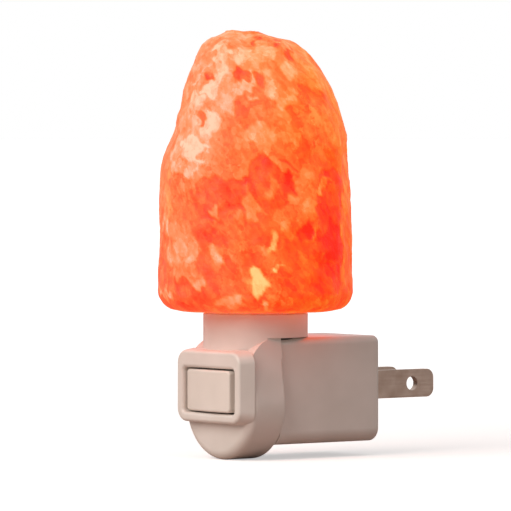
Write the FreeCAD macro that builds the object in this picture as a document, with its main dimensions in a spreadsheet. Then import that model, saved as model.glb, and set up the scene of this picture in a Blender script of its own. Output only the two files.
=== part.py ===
import FreeCAD, Part
import math
import os
import re
import Sketcher

# A salt crystal night light that plugs straight into a wall outlet, in millimetres.
# The origin is the centre of the plug's flat rear face, between the two blades.
# +Y points into the wall, -Y to the rocker switch in front, +Z up to the crystal.
# Pieces are drawn about the upright axis of the neck, at the height of the blades, and
# are then moved back as a whole by neck_setback, so that the plug face lands on Y = 0.

Vector = FreeCAD.Vector
doc = FreeCAD.newDocument("salt_night_light")

SIZES = [
    ("neck_setback", 27.6, "plug face to the neck axis"),
    ("wall", 1.8, "wall of both housings"),
    ("fit_gap", 0.15, "clearance between fixed pieces that slide together"),
    ("solder_gap", 0.03, "clearance where a wire or a contact is joined on"),
    ("run_gap", 0.05, "radial running clearance of the rocker pins"),
    # Front housing: the U-shaped body
    ("seam_ahead", 1.15, "seam of the two housings, in front of the neck axis"),
    ("body_depth", 9.65, "front plane of the body to the seam"),
    ("body_radius", 12.5, "round bottom of the body"),
    ("body_drop", 15.8, "lowest point of the body, below the blades"),
    ("body_rise", 11.5, "top of the body, above the blades"),
    ("side_lean", 8.0, "inward lean of the body's sides, in degrees"),
    ("edge_round", 2.0, "rounding of the body's front edge"),
    ("shoulder_round", 8.6, "rounding of the body's top front edge"),
    ("shoulder_inside", 5.0, "rounding inside that edge"),
    ("seam_round", 0.6, "rounding of the body's rear edge"),
    # Front housing: the neck and its spigot
    ("neck_radius", 11.7, "outside of the neck"),
    ("neck_overlap", 4.6, "neck that runs down over the body's shoulder"),
    ("spigot_radius", 9.8, "outside of the spigot that enters the crystal"),
    ("spigot_height", 5.6, "spigot above the neck's shoulder"),
    ("spigot_wall", 1.6, "wall of the spigot"),
    ("lip_radius", 6.9, "mouth of the spigot, where the bulb enters"),
    ("lip_thickness", 1.5, "inward lip at the top of the spigot"),
    # Front housing: the bezel round the rocker
    ("bezel_proud", 2.7, "bezel in front of the body"),
    ("bezel_root", 0.8, "back of the bezel, behind the front plane of the body"),
    ("bezel_inset", 1.1, "side of the bezel's front, inside the body's widest line"),
    ("bezel_flare", 0.36, "sideways growth of the bezel per millimetre of depth"),
    ("bezel_draft", 0.1, "growth of the bezel's top and bottom per millimetre of depth"),
    ("bezel_above", 8.85, "bezel's front, above the rocker's middle"),
    ("bezel_below", 7.05, "bezel's front, below the rocker's middle"),
    ("bezel_corner", 3.0, "rounding of the bezel's corners"),
    ("bezel_edge", 0.8, "rounding of the bezel's front edges"),
    ("bezel_side", 2.0, "sides of the bezel, beside the rocker's opening"),
    ("opening_half_height", 5.0, "half of the rocker opening's height"),
    ("opening_corner", 0.9, "rounding of the opening's corners"),
    # Rear housing: the plug box
    ("box_inset", 2.1, "side of the box, inside the body's widest line"),
    ("box_floor_step", 3.3, "bottom of the box, above the bottom of the body"),
    ("box_top_step", 0.2, "top of the box, below the top of the body"),
    ("box_bottom_round", 3.0, "rounding of the box's long bottom edges"),
    ("box_top_round", 1.6, "rounding of the box's long top edges"),
    ("box_rear_round", 1.3, "rounding of the edges of the plug face"),
    ("flange_depth", 1.6, "flange that fills the back of the body"),
    ("rib_length", 6.0, "side ribs that hold the switch frame forward"),
    ("rib_height", 4.0, "height of the side ribs"),
    ("rib_depth", 1.2, "side ribs, inwards from the wall"),
    # Housing screws
    ("screw_spread", 5.0, "housing screws, to each side of the middle"),
    ("column_radius", 3.2, "screw column in the rear housing"),
    ("counterbore_radius", 2.4, "hole for the screw's head in the plug face"),
    ("counterbore_depth", 21.2, "depth of that hole"),
    ("screw_radius", 1.05, "shank of a housing screw"),
    ("screw_head_radius", 2.15, "head of a housing screw"),
    ("screw_head_height", 1.5, "height of that head"),
    ("screw_length", 12.5, "shank below the head"),
    ("screw_slot", 0.5, "width of the cross recess's arms"),
    ("boss_radius", 2.3, "screw boss in the front housing"),
    # Plug blades
    ("blade_spacing", 12.7, "blade to blade"),
    ("blade_thickness", 1.5, "stamped strip of the blades"),
    ("blade_width", 6.35, "both blades"),
    ("blade_reach", 18.2, "blade beyond the plug face"),
    ("blade_round", 2.0, "rounding of the blade's tip corners"),
    ("hole_reach", 11.9, "plug face to the blade's hole"),
    ("hole_radius", 1.6, "hole in each blade"),
    ("shoulder_width", 10.4, "shoulder that stops the blade behind the wall"),
    ("shoulder_depth", 1.4, "depth of that shoulder"),
    ("blade_tail_width", 4.0, "tail that the wire is soldered to"),
    ("blade_tail_length", 4.0, "tail in front of the retainer"),
    # Blade retainer
    ("retainer_thickness", 1.5, "plate that holds the blades"),
    ("retainer_gap", 0.4, "plate to the side walls of the box"),
    ("retainer_half_height", 5.5, "half of the plate's height"),
    ("small_screw_radius", 0.85, "shank of a retainer screw"),
    ("small_head_radius", 1.7, "head of a retainer screw"),
    ("small_head_height", 1.1, "height of that head"),
    ("small_screw_length", 3.2, "shank below the head"),
    ("small_screw_rise", 3.2, "retainer screws, above and below the blades' line"),
    ("small_boss_radius", 2.1, "boss of a retainer screw"),
    # Rocker
    ("switch_drop", 0.35, "rocker's middle, below the blades' line"),
    ("pivot_ahead", 7.5, "rocker's pivot, in front of the neck axis"),
    ("rocker_tilt", 4.5, "tilt to each side of the middle, in degrees"),
    ("rocker_side_gap", 0.7, "rocker to the sides of its opening"),
    ("rocker_half_height", 4.65, "half of the rocker's height"),
    ("rocker_crown", 6.45, "middle of the rocker's face, in front of its pivot"),
    ("rocker_bow", 44.5, "radius of the rocker's bowed face"),
    ("rocker_back", 1.8, "back of the rocker's block, in front of its pivot"),
    ("rocker_wall", 1.4, "walls of the rocker's block"),
    ("rocker_corner", 0.9, "rounding of the rocker's corners"),
    ("rocker_edge", 0.5, "rounding of the rocker's front edges"),
    ("hub_radius", 2.3, "hub round the pivot"),
    ("hub_half_height", 3.4, "half of the hub's height"),
    ("pin_radius", 0.8, "rocker pins"),
    ("pin_inner", 1.9, "inner end of a rocker pin, from the middle"),
    ("plunger_radius", 1.3, "spring plunger"),
    ("plunger_reach", 5.4, "rocker's pivot to the lever's face"),
    ("plunger_gap", 0.1, "plunger's tip to the lever"),
    ("plunger_tail", 0.5, "rear end of the plunger, behind the pivot"),
    ("plunger_bore_end", 4.0, "blind end of the plunger's bore, in front of the pivot"),
    ("spring_radius", 1.0, "middle of the spring's wire"),
    ("spring_wire", 0.2, "radius of the spring's wire"),
    ("spring_turns", 5.5, "turns of the spring"),
    # Switch frame
    ("frame_half_height", 5.3, "half of the frame's height"),
    ("ear_thickness", 1.7, "plates above and below the rocker's hub"),
    ("ear_half_width", 3.5, "half of the ears that hold the pins"),
    ("ear_length", 2.9, "ears, back from the front wall"),
    ("frame_half_width", 7.0, "half of the frame's plates"),
    ("ring_half_height", 5.6, "half of the ring behind the bezel"),
    ("ring_thickness", 0.7, "thickness of that ring"),
    ("base_thickness", 1.4, "base that carries the terminals"),
    # Lever and terminals
    ("lever_tilt", 5.5, "tilt of the contact lever to each side, in degrees"),
    ("lever_thickness", 0.5, "strip of the lever"),
    ("lever_half_length", 5.6, "half of the lever"),
    ("lever_half_width", 1.8, "half of the lever's width"),
    ("contact_arm", 4.6, "lever's pivot to its contact"),
    ("contact_radius", 0.9, "silver contacts"),
    ("contact_height", 0.5, "height of the moving contact"),
    ("contact_gap", 0.05, "clearance where the closed contacts meet"),
    ("terminal_height", 2.2, "lever's back to the frame's base"),
    ("strip", 0.5, "thickness of the brass strips"),
    ("terminal_half_width", 1.6, "half of the terminals' width"),
    ("terminal_foot", 1.8, "half of a terminal's foot"),
    ("terminal_tail", 5.0, "terminal's tail behind the face of the base"),
    ("tail_half_width", 1.0, "half of a terminal's tail"),
    # Lamp socket
    ("holder_floor", 1.2, "floor of the socket holder"),
    ("holder_rib_rise", 4.5, "holder's centring rib, above its bottom"),
    ("holder_rib", 1.8, "height of that rib"),
    ("contact_rise", 1.4, "bulb's tip above the holder's floor"),
    ("shell_wall", 0.3, "wall of the threaded shell"),
    ("shell_rise", 2.6, "threaded shell above the holder's floor"),
    ("thread_gap", 0.2, "bulb's thread crest to the shell"),
    ("shell_ridge", 0.35, "radius of the shell's rolled thread"),
    ("spring_strip", 0.4, "thickness of the centre contact"),
    ("strip_half_width", 1.5, "half of the contact strips' width"),
    ("tail_drop", 2.2, "contact tails below the holder"),
    ("tail_setback", 3.85, "centre contact's tail, behind the neck axis"),
    ("strip_turn", 45.0, "shell's contact strip, to the left of straight behind, in degrees"),
    # Bulb
    ("bulb_length", 48.0, "whole bulb"),
    ("bulb_radius", 10.0, "glass tube of the bulb"),
    ("glass", 0.6, "thickness of the glass"),
    ("glass_neck", 5.1, "glass inside the cap"),
    ("glass_start", 11.0, "foot of the glass above the bulb's tip"),
    ("glass_shoulder", 15.1, "start of the glass's flare above the tip"),
    ("glass_flare", 6.0, "height of the flare"),
    ("cap_radius", 5.5, "root of the cap's thread"),
    ("cap_wall", 0.3, "wall of the cap"),
    ("cap_low", 2.6, "foot of the cap above the tip"),
    ("cap_height", 11.0, "height of the cap"),
    ("thread_pitch", 2.54, "pitch of the cap's thread"),
    ("thread_round", 0.45, "radius of the rolled thread"),
    ("thread_turns", 3.5, "turns of the rolled thread"),
    ("turns_out", 4.0, "turns that free the bulb"),
    ("tip_radius", 2.1, "solder tip"),
    ("tip_height", 0.8, "height of the solder tip"),
    ("stem_radius", 1.9, "glass stem inside the bulb"),
    ("stem_height", 16.0, "height of the stem"),
    ("stem_foot", 4.3, "flared foot of the stem"),
    ("lead_spread", 1.2, "leads at the stem, to each side"),
    ("filament_half_length", 5.3, "half of the filament"),
    ("filament_rise", 6.4, "filament above the stem"),
    ("filament_radius", 0.45, "coil of the filament"),
    ("filament_wire", 0.12, "radius of the filament's wire"),
    ("filament_turns", 16.0, "turns of the filament"),
    ("lead_wire", 0.3, "radius of a lead"),
    ("support_wire", 0.15, "radius of a filament support"),
    ("lead_bend", 1.0, "bends of the leads and supports"),
    # Crystal and its grip
    ("grip_flange", 0.5, "silicone flange under the crystal"),
    ("grip_height", 4.5, "silicone sleeve round the spigot"),
    ("rest_gap", 0.1, "crystal above its flange"),
    ("bore_radius", 11.6, "hole drilled in the crystal"),
    ("bore_gap", 1.3, "bore's end above the unscrewed bulb"),
    ("bore_clearance", 0.3, "silicone sleeve to the bore"),
    ("crown", 12.8, "salt above the bore's end"),
    ("crystal_left", 21.8, "crystal to the left of the neck axis, in the photographed view"),
    ("crystal_right", 21.7, "crystal to the right of the neck axis, in that view"),
    ("crystal_near", 20.2, "crystal towards the viewer"),
    ("crystal_far", 20.6, "crystal away from the viewer"),
    ("view_turn", 52.0, "turn of that view about the upright axis, in degrees"),
    ("foot_round", 4.7, "rounding of the crystal's sawn foot"),
    ("hewn_depth", 1.0, "usual depth of a flat hewn into the crystal"),
    # Wiring
    ("wire_radius", 0.8, "insulated wires"),
    ("wire_bend", 2.6, "bends of the wires"),
    ("line_run", 4.5, "line wire straight behind its terminal"),
    ("line_cross", 2.0, "depth in which the line wire crosses to its blade"),
    ("switched_run", 3.5, "switched wire straight behind its terminal"),
    ("neutral_run", 5.5, "neutral wire straight in front of its blade"),
    ("neutral_bow", 3.4, "neutral wire's last bend, behind the shell's contact strip"),
]

sheet = doc.addObject("Spreadsheet::Sheet", "sizes")
for row, (alias, value, meaning) in enumerate(SIZES, 1):
    sheet.set(f"A{row}", meaning)
    sheet.set(f"B{row}", str(value))
    sheet.setAlias(f"B{row}", alias)
doc.recompute()

SIZE_NAME = re.compile(r"\b(" + "|".join(alias for alias, value, meaning in SIZES) + r")\b")

# Places that follow from the sizes, all from the neck axis and the blades' line.
FRONT = "(-seam_ahead - body_depth)"
INNER_FRONT = "(-seam_ahead - body_depth + wall)"
SEAM = "(-seam_ahead)"
PLUG_FACE = "(neck_setback)"
BODY_CENTRE = "(body_radius - body_drop)"
BOX_SIDE = "(body_radius - box_inset)"
BOX_LOW = "(box_floor_step - body_drop)"
BOX_TOP = "(body_rise - box_top_step)"
SWITCH = "(-switch_drop)"
PIVOT = "(-pivot_ahead)"
LEVER_BACK = "(plunger_reach - pivot_ahead + lever_thickness)"
BASE_FACE = "(plunger_reach - pivot_ahead + lever_thickness + terminal_height)"
BASE_BACK = f"({BASE_FACE} + base_thickness)"
HOLDER_LOW = "(frame_half_height - switch_drop + fit_gap)"
HOLDER_RADIUS = "(spigot_radius - spigot_wall - fit_gap)"
BULB_TIP = f"({HOLDER_LOW} + holder_floor + contact_rise)"
SPIGOT_TOP = f"({BULB_TIP} + glass_shoulder - 4 * fit_gap)"
NECK_SHOULDER = f"({SPIGOT_TOP} - spigot_height)"
SHELL_INSIDE = "(cap_radius + thread_round + thread_gap)"
HOLDER_INSIDE = f"({SHELL_INSIDE} + shell_wall + fit_gap)"
CRYSTAL_BASE = f"({NECK_SHOULDER} + grip_flange + rest_gap)"
BORE_END = f"({BULB_TIP} + bulb_length + thread_pitch * turns_out + bore_gap)"
CRYSTAL_TOP = f"({BORE_END} + crown)"
SCREW_LINE = "(-switch_drop - frame_half_height - column_radius - fit_gap)"
RETAINER_BACK = "(neck_setback - wall - shoulder_depth - 2 * fit_gap)"
RETAINER_FRONT = f"({RETAINER_BACK} - retainer_thickness)"
BLADE_END = f"({RETAINER_FRONT} - blade_tail_length)"


def formula(text):
    """Expression in which every size is named with its sheet."""
    return SIZE_NAME.sub(r"sizes.\1", str(text))


def number(text):
    """Present value of an expression."""
    return float(sheet.evalExpression(formula(text)))


def bind(item, **properties):
    """Tie an object's properties to expressions."""
    for name, text in properties.items():
        item.setExpression(name.replace("__", "."), formula(text))


def stand(item, x="0", y="0", z="0", axis=(0, 0, 1), angle=0):
    """Turn an object about an axis through its origin and tie its place."""
    item.Placement = FreeCAD.Placement(Vector(), FreeCAD.Rotation(Vector(*axis), angle))
    bind(item, Placement__Base__x=x, Placement__Base__y=y, Placement__Base__z=z)
    return item


def box(name, x, y, z):
    """Box between two values on each axis."""
    block = doc.addObject("Part::Box", name)
    bind(block, Length=f"{x[1]} - ({x[0]})", Width=f"{y[1]} - ({y[0]})", Height=f"{z[1]} - ({z[0]})")
    return stand(block, x[0], y[0], z[0])


def rod(name, radius, ends, axis="z", at=("0", "0")):
    """Cylinder along an axis, between two values on it and centred at two values off it."""
    bar = doc.addObject("Part::Cylinder", name)
    bind(bar, Radius=radius, Height=f"{ends[1]} - ({ends[0]})")
    if axis == "y":
        return stand(bar, at[0], ends[0], at[1], (1, 0, 0), -90)
    return stand(bar, at[0], at[1], ends[0])


def taper(name, radii, ends):
    """Upright cone between two heights on the neck axis."""
    cone = doc.addObject("Part::Cone", name)
    bind(cone, Radius1=radii[0], Radius2=radii[1], Height=f"{ends[1]} - ({ends[0]})")
    return stand(cone, z=ends[0])


def ball(name, radius, y="0", z="0"):
    """Sphere centred on x = 0."""
    sphere = doc.addObject("Part::Sphere", name)
    bind(sphere, Radius=radius)
    return stand(sphere, y=y, z=z)


def joined(name, *pieces):
    """Pieces fused into one."""
    result = doc.addObject("Part::MultiFuse", name)
    result.Shapes = list(pieces)
    result.Refine = True
    return result


def cut(name, base, *tools):
    """Base without the tools."""
    result = doc.addObject("Part::Cut", name)
    result.Base = base
    result.Tool = tools[0] if len(tools) == 1 else joined(name + "_tools", *tools)
    return result


def shared(name, base, tool):
    """What two pieces have in common."""
    result = doc.addObject("Part::Common", name)
    result.Base = base
    result.Tool = tool
    return result


def on_plane(axis, place):
    """Test for edges that lie in a plane square to an axis."""
    level = number(place)

    def lies(edge):
        bound = edge.BoundBox
        low = getattr(bound, axis + "Min")
        high = getattr(bound, axis + "Max")
        return abs(low - level) < 0.01 and abs(high - level) < 0.01
    return lies


def softened(name, base, radius, chosen):
    """Base with the chosen edges rounded."""
    doc.recompute()
    value = number(radius)
    result = doc.addObject("Part::Fillet", name)
    result.Base = base
    edges = enumerate(base.Shape.Edges, 1)
    result.Edges = [(index, value, value) for index, edge in edges if chosen(edge)]
    return result


def outline(body, name, plane, points):
    """Closed sketch of straight lines on one of a body's own planes, each corner tied to a pair of
    expressions."""
    sketch = body.newObject("Sketcher::SketchObject", name)
    face = [part for part in body.Origin.OriginFeatures if part.Role == plane][0]
    sketch.AttachmentSupport = [(face, "")]
    sketch.MapMode = "FlatFace"
    places = [Vector(number(u), number(v), 0) for u, v in points]
    count = len(points)
    for index in range(count):
        sketch.addGeometry(Part.LineSegment(places[index], places[(index + 1) % count]), False)
    for index, (u, v) in enumerate(points):
        following = (index + 1) % count
        sketch.addConstraint(Sketcher.Constraint("Coincident", index, 2, following, 1))
        for kind, text, place in (("DistanceX", u, places[index].x), ("DistanceY", v, places[index].y)):
            tie = sketch.addConstraint(Sketcher.Constraint(kind, -1, 1, index, 1, place))
            sketch.setExpression(f"Constraints[{tie}]", formula(text))
    return sketch


def turned(name, points):
    """Body turned about the upright axis; its outline is (radius, height) pairs."""
    body = doc.addObject("PartDesign::Body", name)
    sketch = outline(body, name + "_outline", "XZ_Plane", points)
    doc.recompute()
    turn = body.newObject("PartDesign::Revolution", name + "_turn")
    turn.Profile = sketch
    turn.ReferenceAxis = (sketch, ["V_Axis"])
    turn.Angle = 360
    return body


def pressed(name, plane, points, width):
    """Body padded to both sides of one of its planes to a whole width."""
    body = doc.addObject("PartDesign::Body", name)
    sketch = outline(body, name + "_outline", plane, points)
    pad = body.newObject("PartDesign::Pad", name + "_pad")
    pad.Profile = sketch
    pad.Midplane = True
    bind(pad, Length=width)
    return body


def winding(name, radius, pitch, turns, wire):
    """Solid coil about the upright axis, whose wire's centre starts on +X at height 0."""
    spine = doc.addObject("Part::Helix", name + "_spine")
    bind(spine, Radius=radius, Pitch=pitch, Height=f"({pitch}) * ({turns})")
    section = doc.addObject("Part::Circle", name + "_section")
    bind(section, Radius=wire)
    stand(section, x=radius, axis=(1, 0, 0), angle=90)
    coil = doc.addObject("Part::Sweep", name)
    coil.Sections = [section]
    coil.Spine = spine
    coil.Solid = True
    coil.Frenet = True
    return coil


def tube(name, route, radius, bend):
    """Round wire along straight runs joined by tangent arcs."""
    places = [Vector(*(number(value) for value in point)) for point in route]
    size = number(radius)
    edges = []
    start = places[0]
    for before, corner, after in zip(places, places[1:], places[2:]):
        back = (before - corner).normalize()
        ahead = (after - corner).normalize()
        turn = math.pi - back.getAngle(ahead)
        room = 0.45 * min((before - corner).Length, (after - corner).Length)
        setback = min(number(bend) * math.tan(turn / 2), room)
        inward = (back + ahead).normalize()
        reach = setback / math.cos(back.getAngle(inward))
        arc_radius = setback / math.tan(turn / 2)
        middle = corner + inward * (reach - arc_radius)
        first = corner + back * setback
        last = corner + ahead * setback
        edges.append(Part.LineSegment(start, first).toShape())
        edges.append(Part.Arc(first, middle, last).toShape())
        start = last
    edges.append(Part.LineSegment(start, places[-1]).toShape())
    path = Part.Wire(edges)
    section = Part.Wire([Part.Circle(places[0], places[1] - places[0], size).toShape()])
    piece = doc.addObject("Part::Feature", name)
    piece.Shape = path.makePipeShell([section], True, False)
    return piece


finished = []


def finish(piece, name, x="0", y="0", z="0", turn="0"):
    """Name a finished piece and move it back with the neck axis."""
    piece.Label = name
    bind(piece, Placement__Base__x=x, Placement__Base__y=f"{y} - neck_setback", Placement__Base__z=z)
    if turn != "0":
        bind(piece, Placement__Rotation__Angle=turn)
    finished.append(piece)


# Shapes that both housings share

def half_width(inset, height):
    """Half of the body's width at a height on its leaning sides."""
    radius = f"(body_radius - ({inset}))"
    start = f"({BODY_CENTRE} + {radius} * sin(side_lean))"
    return f"({radius} * cos(side_lean) - ({height} - {start}) * tan(side_lean))"


BEZEL_HALF = "(body_radius * cos(side_lean) - bezel_inset)"
OPENING_HALF = f"({BEZEL_HALF} - bezel_side)"
ROCKER_HALF = f"({OPENING_HALF} - rocker_side_gap)"


def u_block(name, inset, y, top):
    """U-shaped block: a half-round bottom whose sides lean in as tangents up to the top."""
    radius = f"(body_radius - ({inset}))"
    start = f"({BODY_CENTRE} + {radius} * sin(side_lean))"
    wide = half_width(inset, start)
    narrow = half_width(inset, top)
    bottom = rod(name + "_round", radius, y, "y", ("0", BODY_CENTRE))
    sides = doc.addObject("Part::Wedge", name + "_sides")
    bind(sides, Xmin=f"-{wide}", Xmax=wide, X2min=f"-{narrow}", X2max=narrow)
    bind(sides, Ymin="0", Ymax=f"{top} - {start}")
    bind(sides, Zmin=f"-({y[1]})", Zmax=f"-({y[0]})", Z2min=f"-({y[1]})", Z2max=f"-({y[0]})")
    stand(sides, z=start, axis=(1, 0, 0), angle=90)
    return joined(name, bottom, sides)


def shouldered(name, block, front, top, radius):
    """Block whose top front edge is rounded off."""
    bound = box(name + "_bound", ("-2 * body_radius", "2 * body_radius"), (front, "neck_setback"),
                ("-2 * body_drop", top))
    edge = on_plane("Y", front)
    upper = on_plane("Z", top)
    bound = softened(name + "_bend", bound, radius, lambda line: edge(line) and upper(line))
    return shared(name, block, bound)


RIGHT_LEFT = (("right", ""), ("left", "-"))
UPPER_LOWER = (("upper", ""), ("lower", "-"))


def screw_rods(name, radius, y):
    """Pair of rods along the two housing screws."""
    return [rod(f"{name}_{side}", radius, y, "y", (f"{sign}screw_spread", SCREW_LINE))
            for side, sign in RIGHT_LEFT]


# Front housing: body, neck, spigot and bezel in one moulding, open at the back

def front_housing():
    body = u_block("body_block", "0", (FRONT, SEAM), "body_rise")
    body = softened("body_front", body, "edge_round", on_plane("Y", FRONT))
    body = softened("body_rear", body, "seam_round", on_plane("Y", SEAM))
    body = shouldered("body_outside", body, FRONT, "body_rise", "shoulder_round")
    hollow = u_block("hollow_block", "wall", (INNER_FRONT, "neck_setback"), "(body_rise - wall)")
    hollow = shouldered("body_inside", hollow, INNER_FRONT, "(body_rise - wall)", "shoulder_inside")
    neck = rod("neck", "neck_radius", (f"({BOX_TOP} + fit_gap)", NECK_SHOULDER))
    skirt = rod("neck_skirt", "neck_radius", ("(body_rise - neck_overlap)", "(body_rise + fit_gap)"))
    limit = u_block("skirt_limit", "0", ("-2 * neck_radius", SEAM), "(body_rise + fit_gap)")
    skirt = shared("neck_front", skirt, limit)
    spigot = rod("spigot", "spigot_radius", (f"({NECK_SHOULDER} - wall)", SPIGOT_TOP))
    spigot = softened("spigot_top", spigot, "0.3 * lip_thickness", on_plane("Z", SPIGOT_TOP))
    spigot_inside = "(spigot_radius - spigot_wall)"
    ceiling = "(body_rise - wall)"
    bores = [
        rod("neck_bore", "(neck_radius - wall)", ("(body_rise - neck_overlap)", f"({NECK_SHOULDER} - wall)")),
        rod("spigot_bore", spigot_inside, (ceiling, f"({SPIGOT_TOP} - lip_thickness)")),
        rod("mouth", "lip_radius", (ceiling, f"({SPIGOT_TOP} + 1)")),
    ]
    boss_end = "(-seam_ahead - flange_depth - fit_gap)"
    bosses = screw_rods("boss", "boss_radius", (f"({INNER_FRONT} - 0.5 * wall)", boss_end))
    pilots = screw_rods("pilot", "(screw_radius + solder_gap)", (INNER_FRONT, "neck_setback"))
    hull = joined("front_hull", body, neck, skirt, spigot, bezel())
    shell = cut("front_shell", hull, hollow, opening("front_opening"), *bores)
    shell = joined("front_with_bosses", shell, *bosses)
    finish(cut("front_housing", shell, *pilots), "front_housing")


def opening(name):
    """Rounded window for the rocker, through the bezel and the front wall."""
    window = box(name + "_window", (f"-{OPENING_HALF}", OPENING_HALF),
                 (f"({FRONT} - 2 * bezel_proud)", f"({INNER_FRONT} + fit_gap)"),
                 (f"({SWITCH} - opening_half_height)", f"({SWITCH} + opening_half_height)"))
    return softened(name, window, "opening_corner", lambda edge: edge.BoundBox.YLength > 1)


def bezel():
    """Frame whose sides widen back to the body's widest line."""
    depth = "(bezel_proud + bezel_root)"
    front = "(-seam_ahead - body_depth - bezel_proud)"
    low = f"({SWITCH} - bezel_below)"
    high = f"({SWITCH} + bezel_above)"
    frustum = doc.addObject("Part::Wedge", "bezel_frustum")
    bind(frustum, Xmin=f"-{BEZEL_HALF}", Xmax=BEZEL_HALF, Zmin=low, Zmax=high)
    grown = f"({BEZEL_HALF} + bezel_flare * {depth})"
    bind(frustum, X2min=f"-{grown}", X2max=grown, Z2min=f"({low} - bezel_draft * {depth})")
    bind(frustum, Z2max=f"({high} + bezel_draft * {depth})", Ymin=front, Ymax=f"({front} + {depth})")
    corners = softened("bezel_corners", frustum, "bezel_corner",
                       lambda edge: edge.BoundBox.YLength > 1)
    frame = cut("bezel_frame", corners, opening("bezel_opening"))
    return softened("bezel", frame, "bezel_edge", on_plane("Y", front))


# Rear housing: plug box, flange, screw columns, retainer bosses and ribs, open at the front

def rear_housing():
    outside = box("box_block", (f"-{BOX_SIDE}", BOX_SIDE), (SEAM, PLUG_FACE), (BOX_LOW, BOX_TOP))
    lower = on_plane("Z", BOX_LOW)
    upper = on_plane("Z", BOX_TOP)
    outside = softened("box_bottom", outside, "box_bottom_round",
                       lambda edge: lower(edge) and edge.BoundBox.YLength > 1)
    outside = softened("box_top", outside, "box_top_round",
                       lambda edge: upper(edge) and edge.BoundBox.YLength > 1)
    outside = softened("box_outside", outside, "box_rear_round", on_plane("Y", PLUG_FACE))
    flange_front = "(-seam_ahead - flange_depth)"
    flange = u_block("flange", "(wall + fit_gap)", (flange_front, f"({SEAM} + 0.5 * wall)"),
                     "(body_rise - wall - fit_gap)")
    inside = f"({BOX_SIDE} - wall)"
    hollow = box("box_hollow", (f"-{inside}", inside), (f"({flange_front} - 1)", f"({PLUG_FACE} - wall)"),
                 (f"({BOX_LOW} + wall)", f"({BOX_TOP} - wall)"))
    shell = cut("box_shell", joined("box_hull", outside, flange), hollow)
    columns = screw_rods("column", "column_radius", (flange_front, f"({PLUG_FACE} - 0.5 * wall)"))
    columns = shared("columns", joined("column_pair", *columns),
                     u_block("column_limit", "(wall + fit_gap)", (flange_front, PLUG_FACE), BOX_TOP))
    bosses = [rod(f"small_boss_{side}", "small_boss_radius", (RETAINER_BACK, f"({PLUG_FACE} - 0.5 * wall)"),
                  "y", ("0", f"{sign}small_screw_rise")) for side, sign in UPPER_LOWER]
    rib_inner = f"({inside} - rib_depth)"
    ribs = []
    for side, low, high in (("right", rib_inner, f"({inside} + 0.5 * wall)"),
                            ("left", f"-({inside} + 0.5 * wall)", f"-{rib_inner}")):
        depth = (f"({BASE_BACK} + fit_gap)", f"({BASE_BACK} + rib_length)")
        ribs.append(box(f"rib_{side}", (low, high), depth,
                        (f"({SWITCH} - 0.5 * rib_height)", f"({SWITCH} + 0.5 * rib_height)")))
    solid = joined("rear_solid", shell, columns, *bosses, *ribs)
    beyond = f"({PLUG_FACE} + 1)"
    holes = screw_rods("counterbore", "counterbore_radius", (f"({PLUG_FACE} - counterbore_depth)", beyond))
    holes += screw_rods("screw_way", "(screw_radius + fit_gap)", (f"({flange_front} - 1)", PLUG_FACE))
    for name, sign in (("hot", "0.5"), ("neutral", "-0.5")):
        middle = f"({sign} * blade_spacing)"
        half = "(0.5 * blade_thickness + 0.5 * fit_gap)"
        rise = "(0.5 * blade_width + 0.5 * fit_gap)"
        holes.append(box(f"{name}_slot", (f"({middle} - {half})", f"({middle} + {half})"),
                         (f"({PLUG_FACE} - 2 * wall)", beyond), (f"-{rise}", rise)))
    for side, sign in UPPER_LOWER:
        holes.append(rod(f"small_pilot_{side}", "(small_screw_radius + solder_gap)",
                         (f"({RETAINER_BACK} - 1)", f"({PLUG_FACE} - 0.3 * wall)"), "y",
                         ("0", f"{sign}small_screw_rise")))
    notch = "(neck_radius - wall)"
    holes.append(rod("notch_round", notch, (f"({BOX_TOP} - 1.5 * wall)", f"({BOX_TOP} + 1)")))
    holes.append(box("notch_front", (f"-{notch}", notch), (f"({flange_front} - 1)", "0"),
                     (f"({BOX_TOP} - 1.5 * wall)", f"({BOX_TOP} + 1)")))
    finish(cut("rear_housing", solid, *holes), "rear_housing")


def screw(name, shank, length, head, head_height, recess):
    """Pan-head screw with a cross recess, upright with its head on top and its seat at height 0."""
    blank = turned(name + "_blank", [
        ("0", f"-{length}"), (f"0.5 * {shank}", f"-{length}"), (shank, f"{shank} - {length}"), (shank, "0"),
        (head, "0"), (head, f"0.55 * {head_height}"), (f"0.6 * {head}", head_height), ("0", head_height)])
    reach = f"(0.6 * {head})"
    arms = [
        box(name + "_arm_x", (f"-{reach}", reach), (f"-0.5 * {recess}", f"0.5 * {recess}"),
            (f"0.45 * {head_height}", f"2 * {head_height}")),
        box(name + "_arm_y", (f"-0.5 * {recess}", f"0.5 * {recess}"), (f"-{reach}", reach),
            (f"0.45 * {head_height}", f"2 * {head_height}")),
    ]
    return cut(name, blank, *arms)


def screw_set(name, screws, axis_angle):
    """Several screws as separate solids of one group, laid along Y."""
    group = doc.addObject("Part::Compound", name)
    for item, x, y, z in screws:
        stand(item, x, y, z, (1, 0, 0), axis_angle)
    group.Links = [item for item, x, y, z in screws]
    finish(group, name)


def housing_screws():
    seat = f"({PLUG_FACE} - counterbore_depth + solder_gap)"
    screws = []
    for side, sign in RIGHT_LEFT:
        item = screw(f"housing_screw_{side}", "screw_radius", "screw_length", "screw_head_radius",
                     "screw_head_height", "screw_slot")
        screws.append((item, f"{sign}screw_spread", seat, SCREW_LINE))
    screw_set("housing_screws", screws, -90)


def retainer_screws():
    seat = f"({RETAINER_FRONT} - solder_gap)"
    screws = []
    for side, sign in UPPER_LOWER:
        item = screw(f"retainer_screw_{side}", "small_screw_radius", "small_screw_length",
                     "small_head_radius", "small_head_height", "screw_slot")
        screws.append((item, "0", seat, f"{sign}small_screw_rise"))
    screw_set("retainer_screws", screws, 90)


# Plug blades: stamped strips with a shoulder behind the wall and a tail for the wire

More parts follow.
